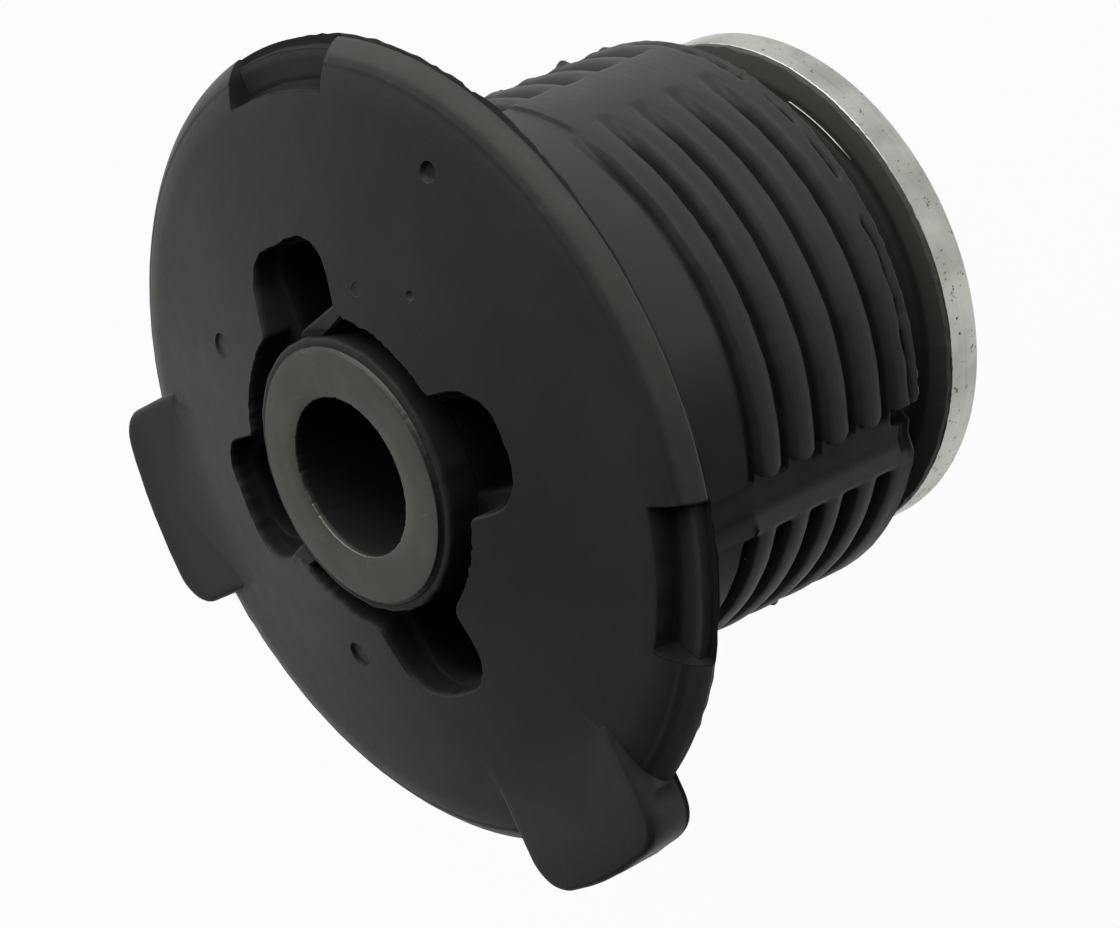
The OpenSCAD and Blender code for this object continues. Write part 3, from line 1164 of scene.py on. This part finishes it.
@dataclass
class CollarSleeve:
    """The outer steel sleeve with the bright collar that closes the rear end."""

    heights: Heights
    chamfer: float = 0.4
    columns: int = 420
    burr_middle: float = -58.0
    burr_span: float = 32.0
    burr_out: float = 0.3
    burr_up: float = 0.45
    piece: bpy.types.Object | None = field(default=None, init=False)

    def build(self) -> None:
        """Makes the sleeve and its collar from one closed outline."""
        h = self.heights
        c = self.chamfer
        path = rounded_path([
            Corner(h.tube_inner_r, h.tube_front - 3.0), Corner(h.tube_inner_r, h.collar_rear, 0.3),
            Corner(h.collar_r - c, h.collar_rear, 0.25), Corner(h.collar_r, h.collar_rear + c, 0.25),
            Corner(h.collar_r, h.collar_front, 0.1), Corner(h.shoulder_r, h.collar_front),
            Corner(h.shoulder_r, h.shoulder, 0.08), Corner(h.tube_r, h.shoulder),
            Corner(h.tube_r, h.tube_front), Corner(h.tube_inner_r, h.tube_front),
        ], 1.2)
        phi = np.linspace(-180.0, 180.0, self.columns, endpoint=False)[None, :]
        r = path[:, :1] + 0.0 * phi
        z = path[:, 1:] + 0.0 * phi
        edge = nearness(path, h.collar_r, h.collar_front, 0.06)
        r = r - 0.03 * edge * np.abs(Wander(53, 10, 120).at(phi))
        burr = smooth((self.burr_span / 2.0 - np.abs(off_angle(phi, self.burr_middle))) / 9.0)
        burr = burr * nearness(path, h.shoulder_r, h.shoulder, 0.03)
        r = r + self.burr_out * burr
        z = z + self.burr_up * burr
        self.piece = lathe("collar_sleeve", r, z, phi)

    def dress(self) -> None:
        """Gives the collar its finish and its place in the frame."""
        settle(self.piece, Node.COLLAR_SLEEVE, CollarFinish().material())


def settle(piece: bpy.types.Object, node: Node, finish: bpy.types.Material) -> None:
    """Shades a piece, gives it its finish, and has it stand for its frame node.

    Args:
        piece: The finished piece.
        node: The frame node that it stands for.
        finish: Its material.
    """
    mesh = piece.data
    mesh.materials.clear()
    mesh.materials.append(finish)
    mesh.shade_smooth()
    mesh.set_sharp_from_angle(angle=math.radians(SHARP_EDGE))
    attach(piece, BODY)
    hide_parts(node.value)
    mesh.calc_loop_triangles()
    log.info("%s: %d triangles", piece.name, len(mesh.loop_triangles))


class Kind(Enum):
    """What flows through a socket."""

    VALUE = "value"
    VECTOR = "vector"
    COLOUR = "colour"


Term = "Flow | float | tuple[float, ...]"


class Graph:
    """The node tree of a material or of the world."""

    def __init__(self, tree: bpy.types.NodeTree) -> None:
        """Takes an empty tree."""
        self.tree = tree
        tree.nodes.clear()

    def node(self, kind: str, settings: Mapping[str, object] | None = None,
             sockets: Mapping[str | int, Term] | None = None, out: str | int = 0,
             flow: Kind = Kind.VALUE) -> Flow:
        """Adds a node.

        Args:
            kind: The node's type.
            settings: Its properties, set first.
            sockets: Values or flows of its inputs, by name or number. A colour has three numbers.
            out: The output that comes back.
            flow: What flows out of it.

        Returns:
            The chosen output.
        """
        made = self.tree.nodes.new(kind)
        for key, value in (settings or {}).items():
            setattr(made, key, value)
        for key, value in (sockets or {}).items():
            entry = made.inputs[key]
            if isinstance(value, Flow):
                self.tree.links.new(value.socket, entry)
            else:
                entry.default_value = (*value, 1.0) if entry.type == "RGBA" else value
        return Flow(self, made.outputs[out], flow) if made.outputs else Flow(self, None, flow)

    def math(self, operation: str, *terms: Term) -> Flow:
        """A Math node on up to three numbers."""
        return self.node("ShaderNodeMath", {"operation": operation}, dict(enumerate(terms)))

    def largest(self, *terms: Term) -> Flow:
        """The largest of some numbers."""
        return reduce(lambda first, second: self.math("MAXIMUM", first, second), terms)

    def vector_math(self, operation: str, *terms: Term) -> Flow:
        """A Vector Math node that gives a vector."""
        return self.node("ShaderNodeVectorMath", {"operation": operation}, dict(enumerate(terms)),
                         flow=Kind.VECTOR)

    def mix(self, share: Term, low: Term, high: Term) -> Flow:
        """A colour between two, by a share from 0 to 1."""
        return self.node("ShaderNodeMix", {"data_type": "RGBA"}, {0: share, 6: low, 7: high}, 2,
                         Kind.COLOUR)

    def step(self, value: Term, start: float, end: float) -> Flow:
        """A soft step of a value, from 0 at start to 1 at end, which may be the lower of the two."""
        return self.node("ShaderNodeMapRange", {"interpolation_type": "SMOOTHSTEP"},
                         {"Value": value, "From Min": start, "From Max": end})

    def within(self, value: Term, start: float, full: float, fading: float, end: float) -> Flow:
        """A soft window of a value: 1 from full to fading, and 0 below start and above end."""
        return self.step(value, start, full) * self.step(value, end, fading)

    def place(self) -> Flow:
        """The place on the object, in millimetres."""
        at = self.node("ShaderNodeTexCoord", out="Object", flow=Kind.VECTOR)
        return at * (1.0 / MM)

    def noise(self, at: Flow, scale: float, detail: float = 2.0, rough: float = 0.5) -> Flow:
        """Noise from 0 to 1, with its scale in waves for each unit of the place."""
        return self.node("ShaderNodeTexNoise", {"noise_dimensions": "3D"},
                         {"Vector": at, "Scale": scale, "Detail": detail, "Roughness": rough})

    def parts(self, vector: Flow) -> tuple[Flow, Flow, Flow]:
        """The three numbers of a vector."""
        split = self.node("ShaderNodeSeparateXYZ", sockets={"Vector": vector}).socket.node
        return tuple(Flow(self, split.outputs[k], Kind.VALUE) for k in range(3))

    def join(self, x: Term, y: Term, z: Term) -> Flow:
        """A vector of three numbers."""
        return self.node("ShaderNodeCombineXYZ", sockets={0: x, 1: y, 2: z}, flow=Kind.VECTOR)

    def bump(self, height: Flow, distance: float, strength: float = 1.0, under: Flow | None = None) -> Flow:
        """A normal bent by a height in millimetres.

        Args:
            height: The height, from 0 to 1.
            distance: The height that 1 stands for, in millimetres.
            strength: How strongly it counts.
            under: The normal that it bends.

        Returns:
            The new normal.
        """
        sockets: dict[str | int, Term] = {"Height": height, "Distance": distance * MM, "Strength": strength}
        if under is not None:
            sockets["Normal"] = under
        return self.node("ShaderNodeBump", {}, sockets, flow=Kind.VECTOR)


@dataclass(frozen=True)
class Flow:
    """What flows out of a socket, with arithmetic that adds nodes."""

    graph: Graph
    socket: bpy.types.NodeSocket | None
    kind: Kind

    def _pair(self, name: str, first: Term, second: Term) -> Flow:
        """A node that works on two terms, by the kind of this flow.

        Args:
            name: The operation.
            first: The first term.
            second: The second term.

        Returns:
            What flows out of the node.
        """
        if self.kind is Kind.VALUE:
            return self.graph.math(name, first, second)
        first, second = self._spread(first), self._spread(second)
        if self.kind is Kind.COLOUR:
            return self.graph.node("ShaderNodeMix", {"data_type": "RGBA", "blend_type": name},
                                   {0: 1.0, 6: first, 7: second}, 2, Kind.COLOUR)
        return self.graph.vector_math(name, first, second)

    @staticmethod
    def _spread(term: Term) -> Term:
        """A plain number as a vector of three."""
        return (term,) * 3 if isinstance(term, (int, float)) else term

    def __add__(self, other: Term) -> Flow:
        """This plus another."""
        return self._pair("ADD", self, other)

    def __radd__(self, other: Term) -> Flow:
        """Another plus this."""
        return self._pair("ADD", other, self)

    def __sub__(self, other: Term) -> Flow:
        """This less another."""
        return self._pair("SUBTRACT", self, other)

    def __rsub__(self, other: Term) -> Flow:
        """Another less this."""
        return self._pair("SUBTRACT", other, self)

    def __mul__(self, other: Term) -> Flow:
        """This times another."""
        return self._pair("MULTIPLY", self, other)

    def __rmul__(self, other: Term) -> Flow:
        """Another times this."""
        return self._pair("MULTIPLY", other, self)


def new_graph(name: str) -> tuple[bpy.types.Material, Graph]:
    """A material with an empty node tree.

    Args:
        name: Name of the material.

    Returns:
        The material and its graph.
    """
    material = bpy.data.materials.new(name)
    material.use_nodes = True
    return material, Graph(material.node_tree)


@dataclass(frozen=True)
class RubberFinish:
    """Matt moulded black rubber, with bloom, drag marks along the ribs and a few dust specks.

    Two ways across the axis point to the sides of the barrel where a highlight and a shade are painted. The
    crest is the angle where one channel's slope starts; the other channel lies half a turn on. Shade is
    also painted into the grooves, pockets, ring gap, notches and lug corners, and highlights onto the rim's
    bevel, the lugs' outer sides and the channels' slopes.
    slope starts; the other channel lies half a turn on.
    """

    heights: Heights
    base: Colour = (0.0255, 0.0245, 0.0215)
    # Lighter colour of the bloom, also used for the highlight painted on the lit side of the barrel.
    bloom_and_highlight: Colour = (0.046, 0.0445, 0.041)
    # Colour of the highlights painted on the rim's bevel, the lugs' outer sides and the channels' slopes.
    painted_highlight: Colour = (0.07, 0.068, 0.062)
    coat_tone: Colour = (0.075, 0.069, 0.06)
    dust: Colour = (0.5, 0.5, 0.47)
    # Colour of the darker skin that paints shade into the recesses, the notches, the lug corners and the
    # band's lower side.
    painted_shade: Colour = (0.0065, 0.006, 0.0058)
    # Way across the axis to the side of the barrel where a highlight is painted.
    highlight_side: tuple[float, float] = (0.5, -0.87)
    # Way across the axis to the side of the band where shade is painted.
    shade_side: tuple[float, float] = (-0.57, -0.82)
    roughness: float = 0.5
    specular: float = 0.13
    sheen: float = 0.05
    recess_roughness: float = 0.85
    recess_specular: float = 0.06
    grain_height: float = 0.012
    drag_height: float = 0.02
    swell_height: float = 0.1
    swell_strength: float = 0.3
    pockets_r: float = 18.2
    channel_crest: float = 45.5
    speck_cells: float = 0.3

    def material(self) -> bpy.types.Material:
        """Builds the finish.

        Returns:
            The material.
        """
        material, g = new_graph("black_rubber")
        h = self.heights
        at = g.place()
        x, y, z = g.parts(at)
        radius = g.math("SQRT", x * x + y * y)
        angle = g.math("DEGREES", g.math("ARCTAN2", y, x))
        broad = g.noise(at, 0.09, 3.0)
        middle = g.noise(at, 0.55, 3.0)
        grain = g.noise(at, 4.5, 2.0, 0.6)
        drag = g.noise(g.join(x * 0.22, y * 0.22, z * 3.0), 1.0, 3.0, 0.6)
        ribs = 1.0 - g.step(z, h.band_z - 0.27, h.band_z + 0.33)
        ribs = ribs * g.step(radius, h.barrel_r - 1.0, h.barrel_r - 0.5)
        band = g.within(z, h.band_z - 0.17, h.band_z + 0.33, h.back - 0.4, h.back)

        bloom_and_highlight_share = g.step(broad, 0.4, 0.7) * 0.3 + g.step(middle, 0.45, 0.8) * 0.12
        # Painted highlight: the band and the ribs are lighter on the side that faces the light.
        highlight_side = g.step(self.toward(x, y, self.highlight_side), 0.35, 0.85)
        bloom_and_highlight_share = bloom_and_highlight_share + highlight_side * (band * 0.95 + ribs * 0.5)
        streaked = g.step(drag, 0.5, 0.8) * (ribs * 0.3 + 0.04)
        colour = g.mix(bloom_and_highlight_share + streaked, self.base, self.bloom_and_highlight)
        # Painted highlights on the rim's bevel, the lugs' outer sides and the channels' lower slopes.
        painted_highlight = g.largest(self.edge_highlight(g, radius, z, middle), self.channel_lip_highlight(g, angle, z))
        colour = g.mix(painted_highlight, colour, self.painted_highlight)
        # The coat over the collar's front is coloured a lighter brownish grey.
        coat = g.step(z, h.barrel_end - 0.6, h.barrel_end - 1.6)
        coat = coat * g.step(radius, h.tube_r + 0.2, h.tube_r + 1.0)
        colour = g.mix(coat * 0.9, colour, self.coat_tone)
        colour = g.mix(self.specks(g, at), colour, self.dust)

        rough = self.roughness + (middle - 0.5) * 0.12 + (drag - 0.5) * (ribs * 0.22 + 0.03)
        normal = g.bump(grain, self.grain_height)
        normal = g.bump(drag * ribs, self.drag_height, under=normal)
        normal = g.bump(middle, self.swell_height, self.swell_strength, normal)
        open_skin = g.node("ShaderNodeBsdfPrincipled", {}, {
            "Base Color": colour, "Roughness": rough, "Specular IOR Level": self.specular,
            "Sheen Weight": self.sheen, "Normal": normal})
        # The darker, duller skin of painted shade.
        shaded_skin = g.node("ShaderNodeBsdfPrincipled", {}, {
            "Base Color": self.painted_shade, "Roughness": self.recess_roughness,
            "Specular IOR Level": self.recess_specular, "Normal": normal})
        # Painted shade on the lower side of the smooth band.
        band_underside_shade = g.step(self.toward(x, y, self.shade_side), 0.82, 0.97) * band * 0.5
        # Share of painted shade: in the recesses and notches, in the lugs' corners and on the band's lower
        # side.
        dull = g.largest(self.recess_shade(g, radius, z), self.notch_shade(g, radius, angle, z), band_underside_shade,
                         self.lug_shade(g, radius, z))
        both = g.node("ShaderNodeMixShader", {}, {0: dull, 1: open_skin, 2: shaded_skin})
        g.node("ShaderNodeOutputMaterial", {}, {"Surface": both})
        return material

    def toward(self, x: Flow, y: Flow, way: tuple[float, float]) -> Flow:
        """How far out a place lies along a way across the axis, with 1 on the tops of the ribs."""
        return (x * way[0] + y * way[1]) * (1.0 / self.heights.barrel_r)

    def recess_shade(self, g: Graph, radius: Flow, z: Flow) -> Flow:
        """How much shade is painted where the rubber lies deep: in a groove, a pocket or the gap round the
        sleeve.

        Args:
            g: The finish's graph.
            radius: Distance from the axis.
            z: Height.

        Returns:
            A share from 0 to 1.
        """
        h = self.heights
        slope = math.tan(math.radians(h.face_slope))
        below_face = h.face + h.gap_r * slope - radius * slope - z
        front = g.step(z, h.back - 9.0, h.back - 8.0)
        gap = (g.step(below_face, 0.15, 0.7) * 0.6 + g.step(below_face, 2.0, 4.0) * 0.4) * front
        gap = gap * g.step(radius, self.pockets_r + 0.4, self.pockets_r)
        skin = g.step(radius, h.gap_r - 1.0, h.gap_r - 1.4) * g.step(z, h.top - 0.4, h.top - 0.8)
        groove = g.step(radius, h.barrel_r - 0.5, h.barrel_r - 1.1)
        groove = groove * g.within(z, h.barrel_end, h.barrel_end + 0.4, h.band_z + 0.13, h.band_z + 0.53)
        crease = g.step(radius, h.tube_r + 2.0, h.tube_r + 1.4)
        crease = crease * g.step(z, h.barrel_end - 0.2, h.barrel_end - 0.6)
        under = g.step(radius, h.flange_r - 1.8, h.flange_r - 1.4)
        under = under * g.step(z, h.back + 0.62, h.back + 0.5)
        torn = g.step(radius, h.barrel_r - 0.05, h.barrel_r - 0.3)
        torn = torn * g.within(z, h.barrel_end + 0.2, h.barrel_end + 0.4, h.barrel_end + 1.3,
                               h.barrel_end + 1.5)
        return g.largest(gap, skin * front * 0.7, groove * 0.8, crease * 0.6, under * 0.8, torn * 0.8)

    def notch_shade(self, g: Graph, radius: Flow, angle: Flow, z: Flow) -> Flow:
        """How much shade is painted into the rim's notches: their walls more than their floors.

        Args:
            g: The finish's graph.
            radius: Distance from the axis.
            angle: Angle round the axis.
            z: Height.

        Returns:
            A share from 0 to 1.
        """
        h = self.heights
        rim = g.within(radius, h.flange_r - 3.5, h.flange_r - 3.2, h.flange_r + 0.1, h.flange_r + 0.3)
        rim = rim * g.step(z, h.back + 0.3, h.back + 0.6)
        floor = g.within(radius, h.flange_r - 2.9, h.flange_r - 2.4, h.flange_r - 1.0, h.flange_r - 0.6)
        wall = 0.7 - floor * 0.5
        cuts: list[Flow] = []
        for notch in NOTCHES:
            edge = notch.span / 2.0
            off = g.math("ABSOLUTE", angle - notch.middle)
            depth = g.largest(wall, g.step(off, edge - 0.6, edge - 0.35) * 0.75)
            cuts.append(depth * g.step(off, edge + 0.55, edge + 0.35))
        return rim * g.largest(*cuts)

    def channel_lip_highlight(self, g: Graph, angle: Flow, z: Flow) -> Flow:
        """Where a highlight is painted on the sloped sides of the two channels.

        Args:
            g: The finish's graph.
            angle: Angle round the axis.
            z: Height.

        Returns:
            A share from 0 to 1.
        """
        h = self.heights
        off = g.math("PINGPONG", angle + 180.0 - self.channel_crest, 90.0)
        along = g.within(z, h.barrel_end + 0.4, h.barrel_end + 1.2, h.back - 8.0, h.back - 6.0)
        return g.step(off, 2.6, 1.2) * along * 0.75

    def lug_shade(self, g: Graph, radius: Flow, z: Flow) -> Flow:
        """How much shade is painted on the lugs, most in the corner where they leave the rim.

        Args:
            g: The finish's graph.
            radius: Distance from the axis.
            z: Height.

        Returns:
            A share from 0 to 1.
        """
        h = self.heights
        corner = g.within(radius, h.flange_r + 0.08, h.flange_r + 0.2, h.flange_r + 0.3, h.flange_r + 0.9)
        corner = corner * g.within(z, h.back + 0.85, h.back + 1.1, h.back + 2.4, h.back + 2.7)
        front = g.step(radius, h.flange_r - 1.5, h.flange_r + 2.5) * g.step(z, h.back + 3.0, h.back + 3.5)
        return front * 0.22 + corner * 0.4

    def edge_highlight(self, g: Graph, radius: Flow, z: Flow, patches: Flow) -> Flow:
        """Where a highlight is painted on the rim's bevel and the lugs' outer sides.

        Args:
            g: The finish's graph.
            radius: Distance from the axis.
            z: Height.
            patches: Noise that makes the painted highlight uneven.

        Returns:
            A share from 0 to 1.
        """
        h = self.heights
        bevel = g.within(radius, h.flange_r - 1.6, h.flange_r - 0.9, h.flange_r, h.flange_r + 0.1)
        bevel = bevel * g.within(z, h.back + 0.6, h.back + 0.9, h.back + 2.1, h.back + 2.5)
        side = g.step(radius, h.flange_r + 0.8, h.flange_r + 1.4) * g.step(z, h.back + 3.3, h.back + 2.6)
        return bevel * (g.step(patches, 0.2, 0.8) * 0.2 + 0.45) + side * 0.35

    def specks(self, g: Graph, at: Flow) -> Flow:
        """Where a speck of dust lies.

        Args:
            g: The finish's graph.
            at: The place on the object.

        Returns:
            A share from 0 to 1.
        """
        cells = {"Vector": at, "Scale": self.speck_cells}
        cell = g.node("ShaderNodeTexVoronoi", {"feature": "F1"}, cells, "Distance")
        pick = g.node("ShaderNodeTexVoronoi", {"feature": "F1"}, cells, "Color", Kind.COLOUR)
        chance = g.node("ShaderNodeSeparateColor", sockets={"Color": pick})
        return g.step(cell, 0.036, 0.02) * g.step(chance, 0.8, 0.82)


@dataclass(frozen=True)
class SleeveFinish:
    """Dull cut steel under a thin grey film, with scratches, and shade painted into the bore and onto the
    outer chamfer.
    """

    heights: Heights
    film: Colour = (0.135, 0.132, 0.119)
    bare: Colour = (0.24, 0.235, 0.215)
    # Dark colour that paints shade into the bore and onto the outer chamfer, and darkens the nicks.
    bore_shade_and_marks: Colour = (0.011, 0.0105, 0.01)
    bore_edge: float = 0.06
    bore_roughness: float = 0.7
    bore_specular: float = 0.12
    roughness: float = 0.5

    def material(self) -> bpy.types.Material:
        """Builds the finish.

        Returns:
            The material.
        """
        material, g = new_graph("sleeve_steel")
        h = self.heights
        bore_r = h.bore_r + self.bore_edge
        at = g.place()
        x, y, z = g.parts(at)
        radius = g.math("SQRT", x * x + y * y)
        # The bore is painted as shade: a dark, nearly matt skin inside it.
        inside = g.step(radius, bore_r + 0.03, bore_r) * g.step(z, h.top - 0.1, h.top - 0.6)
        broad = g.noise(at, 0.3, 3.0)
        grain = g.noise(at, 6.0, 3.0, 0.65)
        scratch = g.noise(g.vector_math("MULTIPLY", at, (2.6, 0.25, 2.6)), 1.3, 2.0, 0.7)
        mark = g.noise(at, 1.1, 4.0, 0.7)
        share = g.step(broad, 0.35, 0.75) * 0.2 + g.step(scratch, 0.6, 0.75) * 0.18
        colour = g.mix(share, self.film, self.bare)
        colour = g.mix(g.step(mark, 0.67, 0.74) * 0.6, colour, self.bore_shade_and_marks)
        # Painted shade: the outer chamfer is darkened, which dims its reflection.
        outer = g.step(radius, h.sleeve_r - 0.35, h.sleeve_r - 0.22)
        colour = g.mix(outer * 0.6, colour, self.bore_shade_and_marks)
        rough = self.roughness + (grain - 0.5) * 0.16
        normal = g.bump(grain, 0.012, 0.6, g.bump(scratch, 0.02, 0.4))
        face = g.node("ShaderNodeBsdfPrincipled", {}, {
            "Base Color": colour, "Metallic": 1.0, "Roughness": rough, "Normal": normal})
        bore_shade_and_marks = g.node("ShaderNodeBsdfPrincipled", {}, {
            "Base Color": self.bore_shade_and_marks, "Roughness": self.bore_roughness,
            "Specular IOR Level": self.bore_specular, "Normal": normal})
        both = g.node("ShaderNodeMixShader", {}, {0: inside, 1: face, 2: bore_shade_and_marks})
        g.node("ShaderNodeOutputMaterial", {}, {"Surface": both})
        return material


@dataclass(frozen=True)
class CollarFinish:
    """Bright turned steel with fine turning lines, small dark pits and spots of rust."""

    bright: Colour = (0.5, 0.495, 0.455)
    dull: Colour = (0.27, 0.265, 0.235)
    pit: Colour = (0.14, 0.115, 0.085)
    roughness: float = 0.36

    def material(self) -> bpy.types.Material:
        """Builds the finish.

        Returns:
            The material.
        """
        material, g = new_graph("collar_steel")
        at = g.place()
        x, y, z = g.parts(at)
        turned = g.noise(g.join(x * 0.05, y * 0.05, z * 5.0), 1.0, 3.0, 0.7)
        broad = g.noise(at, 0.2, 3.0)
        grain = g.noise(at, 7.0, 2.0, 0.6)
        spot = g.noise(at, 1.7, 3.0, 0.65)
        pits = g.step(spot, 0.615, 0.69)
        share = g.step(broad, 0.35, 0.7) * 0.6 + g.step(turned, 0.5, 0.75) * 0.3
        colour = g.mix(share, self.bright, self.dull)
        colour = g.mix(pits * 0.85, colour, self.pit)
        rough = self.roughness + (grain - 0.5) * 0.12 + pits * 0.3
        normal = g.bump(turned, 0.008, 0.4, g.bump(1.0 - pits, 0.03, 0.5))
        shader = g.node("ShaderNodeBsdfPrincipled", {}, {
            "Base Color": colour, "Metallic": 1.0 - pits * 0.6, "Roughness": rough, "Normal": normal})
        g.node("ShaderNodeOutputMaterial", {}, {"Surface": shader})
        return material


@dataclass(frozen=True)
class Glow:
    """A soft bright patch of the surroundings.

    Attributes:
        azimuth: Angle round from +X.
        elevation: Angle above the floor.
        tightness: How quickly it fades with the angle from its middle.
        strength: Its brightness in the middle.
    """

    azimuth: float
    elevation: float
    tightness: float
    strength: float

    def axis(self) -> tuple[float, float, float]:
        """Direction of its middle."""
        a, e = math.radians(self.azimuth), math.radians(self.elevation)
        return math.cos(e) * math.cos(a), math.cos(e) * math.sin(a), math.sin(e)


AMBIENT = 0.01  # Brightness of the surroundings between the glows.
GLOWS = (
    Glow(0.0, 45.0, 5.0, 0.25),
    Glow(0.0, 12.0, 8.0, 1.35),
    Glow(45.0, 12.0, 8.0, 0.65),
    Glow(90.0, 12.0, 8.0, 0.85),
    Glow(-42.0, 9.0, 10.0, 4.2),
    Glow(-30.0, 30.0, 14.0, 1.7),
    Glow(0.0, 3.0, 14.0, 0.9),
    Glow(20.0, 25.0, 14.0, 0.6),
)


@dataclass
class Studio:
    """A pale floor, soft surroundings and the camera, in metres but for the lens."""

    floor_reach: float = 6.0
    floor_z: float = -1e-5
    floor_white: float = 0.6
    seen_white: float = 0.97
    camera_at: tuple[float, float, float] = (0.0, -0.2382, 0.2002)
    camera_right: tuple[float, float, float] = (-0.41061, -0.53844, -0.73586)
    camera_up: tuple[float, float, float] = (0.91162, -0.22589, -0.34340)
    lens: float = 126.86
    sensor: float = 36.0
    clip_start: float = 0.01

    def floor(self) -> None:
        """Lays the floor, which shows white to the camera and in gloss but keeps the shadow."""
        reach = self.floor_reach
        mesh = bpy.data.meshes.new("floor")
        corners = [(x * reach, y * reach, self.floor_z)
                   for x, y in ((-1, -1), (1, -1), (1, 1), (-1, 1))]
        mesh.from_pydata(corners, [], [(0, 1, 2, 3)])
        plane = bpy.data.objects.new("floor", mesh)
        bpy.context.scene.collection.objects.link(plane)
        material, g = new_graph("floor_white")
        rays = g.node("ShaderNodeLightPath", out="Is Camera Ray").socket.node.outputs
        seen = g.largest(*(Flow(g, rays[f"Is {ray} Ray"], Kind.VALUE)
                           for ray in ("Camera", "Glossy", "Transmission")))
        matt = g.node("ShaderNodeBsdfDiffuse", {}, {"Color": (self.floor_white,) * 3})
        white = g.node("ShaderNodeEmission", {}, {"Color": (1.0, 1.0, 1.0), "Strength": 1.0})
        both = g.node("ShaderNodeMixShader", {}, {0: seen * self.seen_white, 1: matt, 2: white})
        g.node("ShaderNodeOutputMaterial", {}, {"Surface": both})
        mesh.materials.append(material)

    def surroundings(self) -> None:
        """Gives the world its soft brightness, patch by patch."""
        world = bpy.data.worlds.new("studio")
        bpy.context.scene.world = world
        world.use_nodes = True
        g = Graph(world.node_tree)
        way = g.node("ShaderNodeTexCoord", out="Generated", flow=Kind.VECTOR)
        total: Flow | float = AMBIENT
        for glow in GLOWS:
            toward = g.node("ShaderNodeVectorMath", {"operation": "DOT_PRODUCT"},
                            {0: way, 1: glow.axis()}, "Value")
            total = total + g.math("EXPONENT", (toward - 1.0) * glow.tightness) * glow.strength
        light = g.node("ShaderNodeBackground", {}, {"Color": (1.0, 1.0, 1.0), "Strength": total})
        g.node("ShaderNodeOutputWorld", {}, {"Surface": light})

    def camera(self) -> None:
        """Places the camera as the view asks, rolled about its own axis."""
        right = Vector(self.camera_right).normalized()
        up = Vector(self.camera_up)
        up = (up - right * up.dot(right)).normalized()
        back = right.cross(up)
        camera = bpy.data.cameras.new("camera")
        camera.lens = self.lens
        camera.sensor_width = self.sensor
        camera.sensor_fit = "HORIZONTAL"
        camera.clip_start = self.clip_start
        holder = bpy.data.objects.new("camera", camera)
        turn = Matrix((right, up, back)).transposed().to_4x4()
        holder.matrix_world = Matrix.Translation(self.camera_at) @ turn
        bpy.context.scene.collection.objects.link(holder)
        bpy.context.scene.camera = holder
        bpy.context.scene.view_settings.view_transform = "Standard"


def main() -> None:
    """Builds the studio and the pieces in order."""
    logging.basicConfig(level=logging.INFO, format="%(name)s: %(message)s")
    studio = Studio()
    studio.camera()
    studio.floor()
    studio.surroundings()
    heights = Heights()
    for part in (BoltSleeve(heights), CollarSleeve(heights), RubberMoulding(heights)):
        log.info("building the %s", type(part).__name__)
        part.build()
        part.dress()


if __name__ == "__main__":
    main()
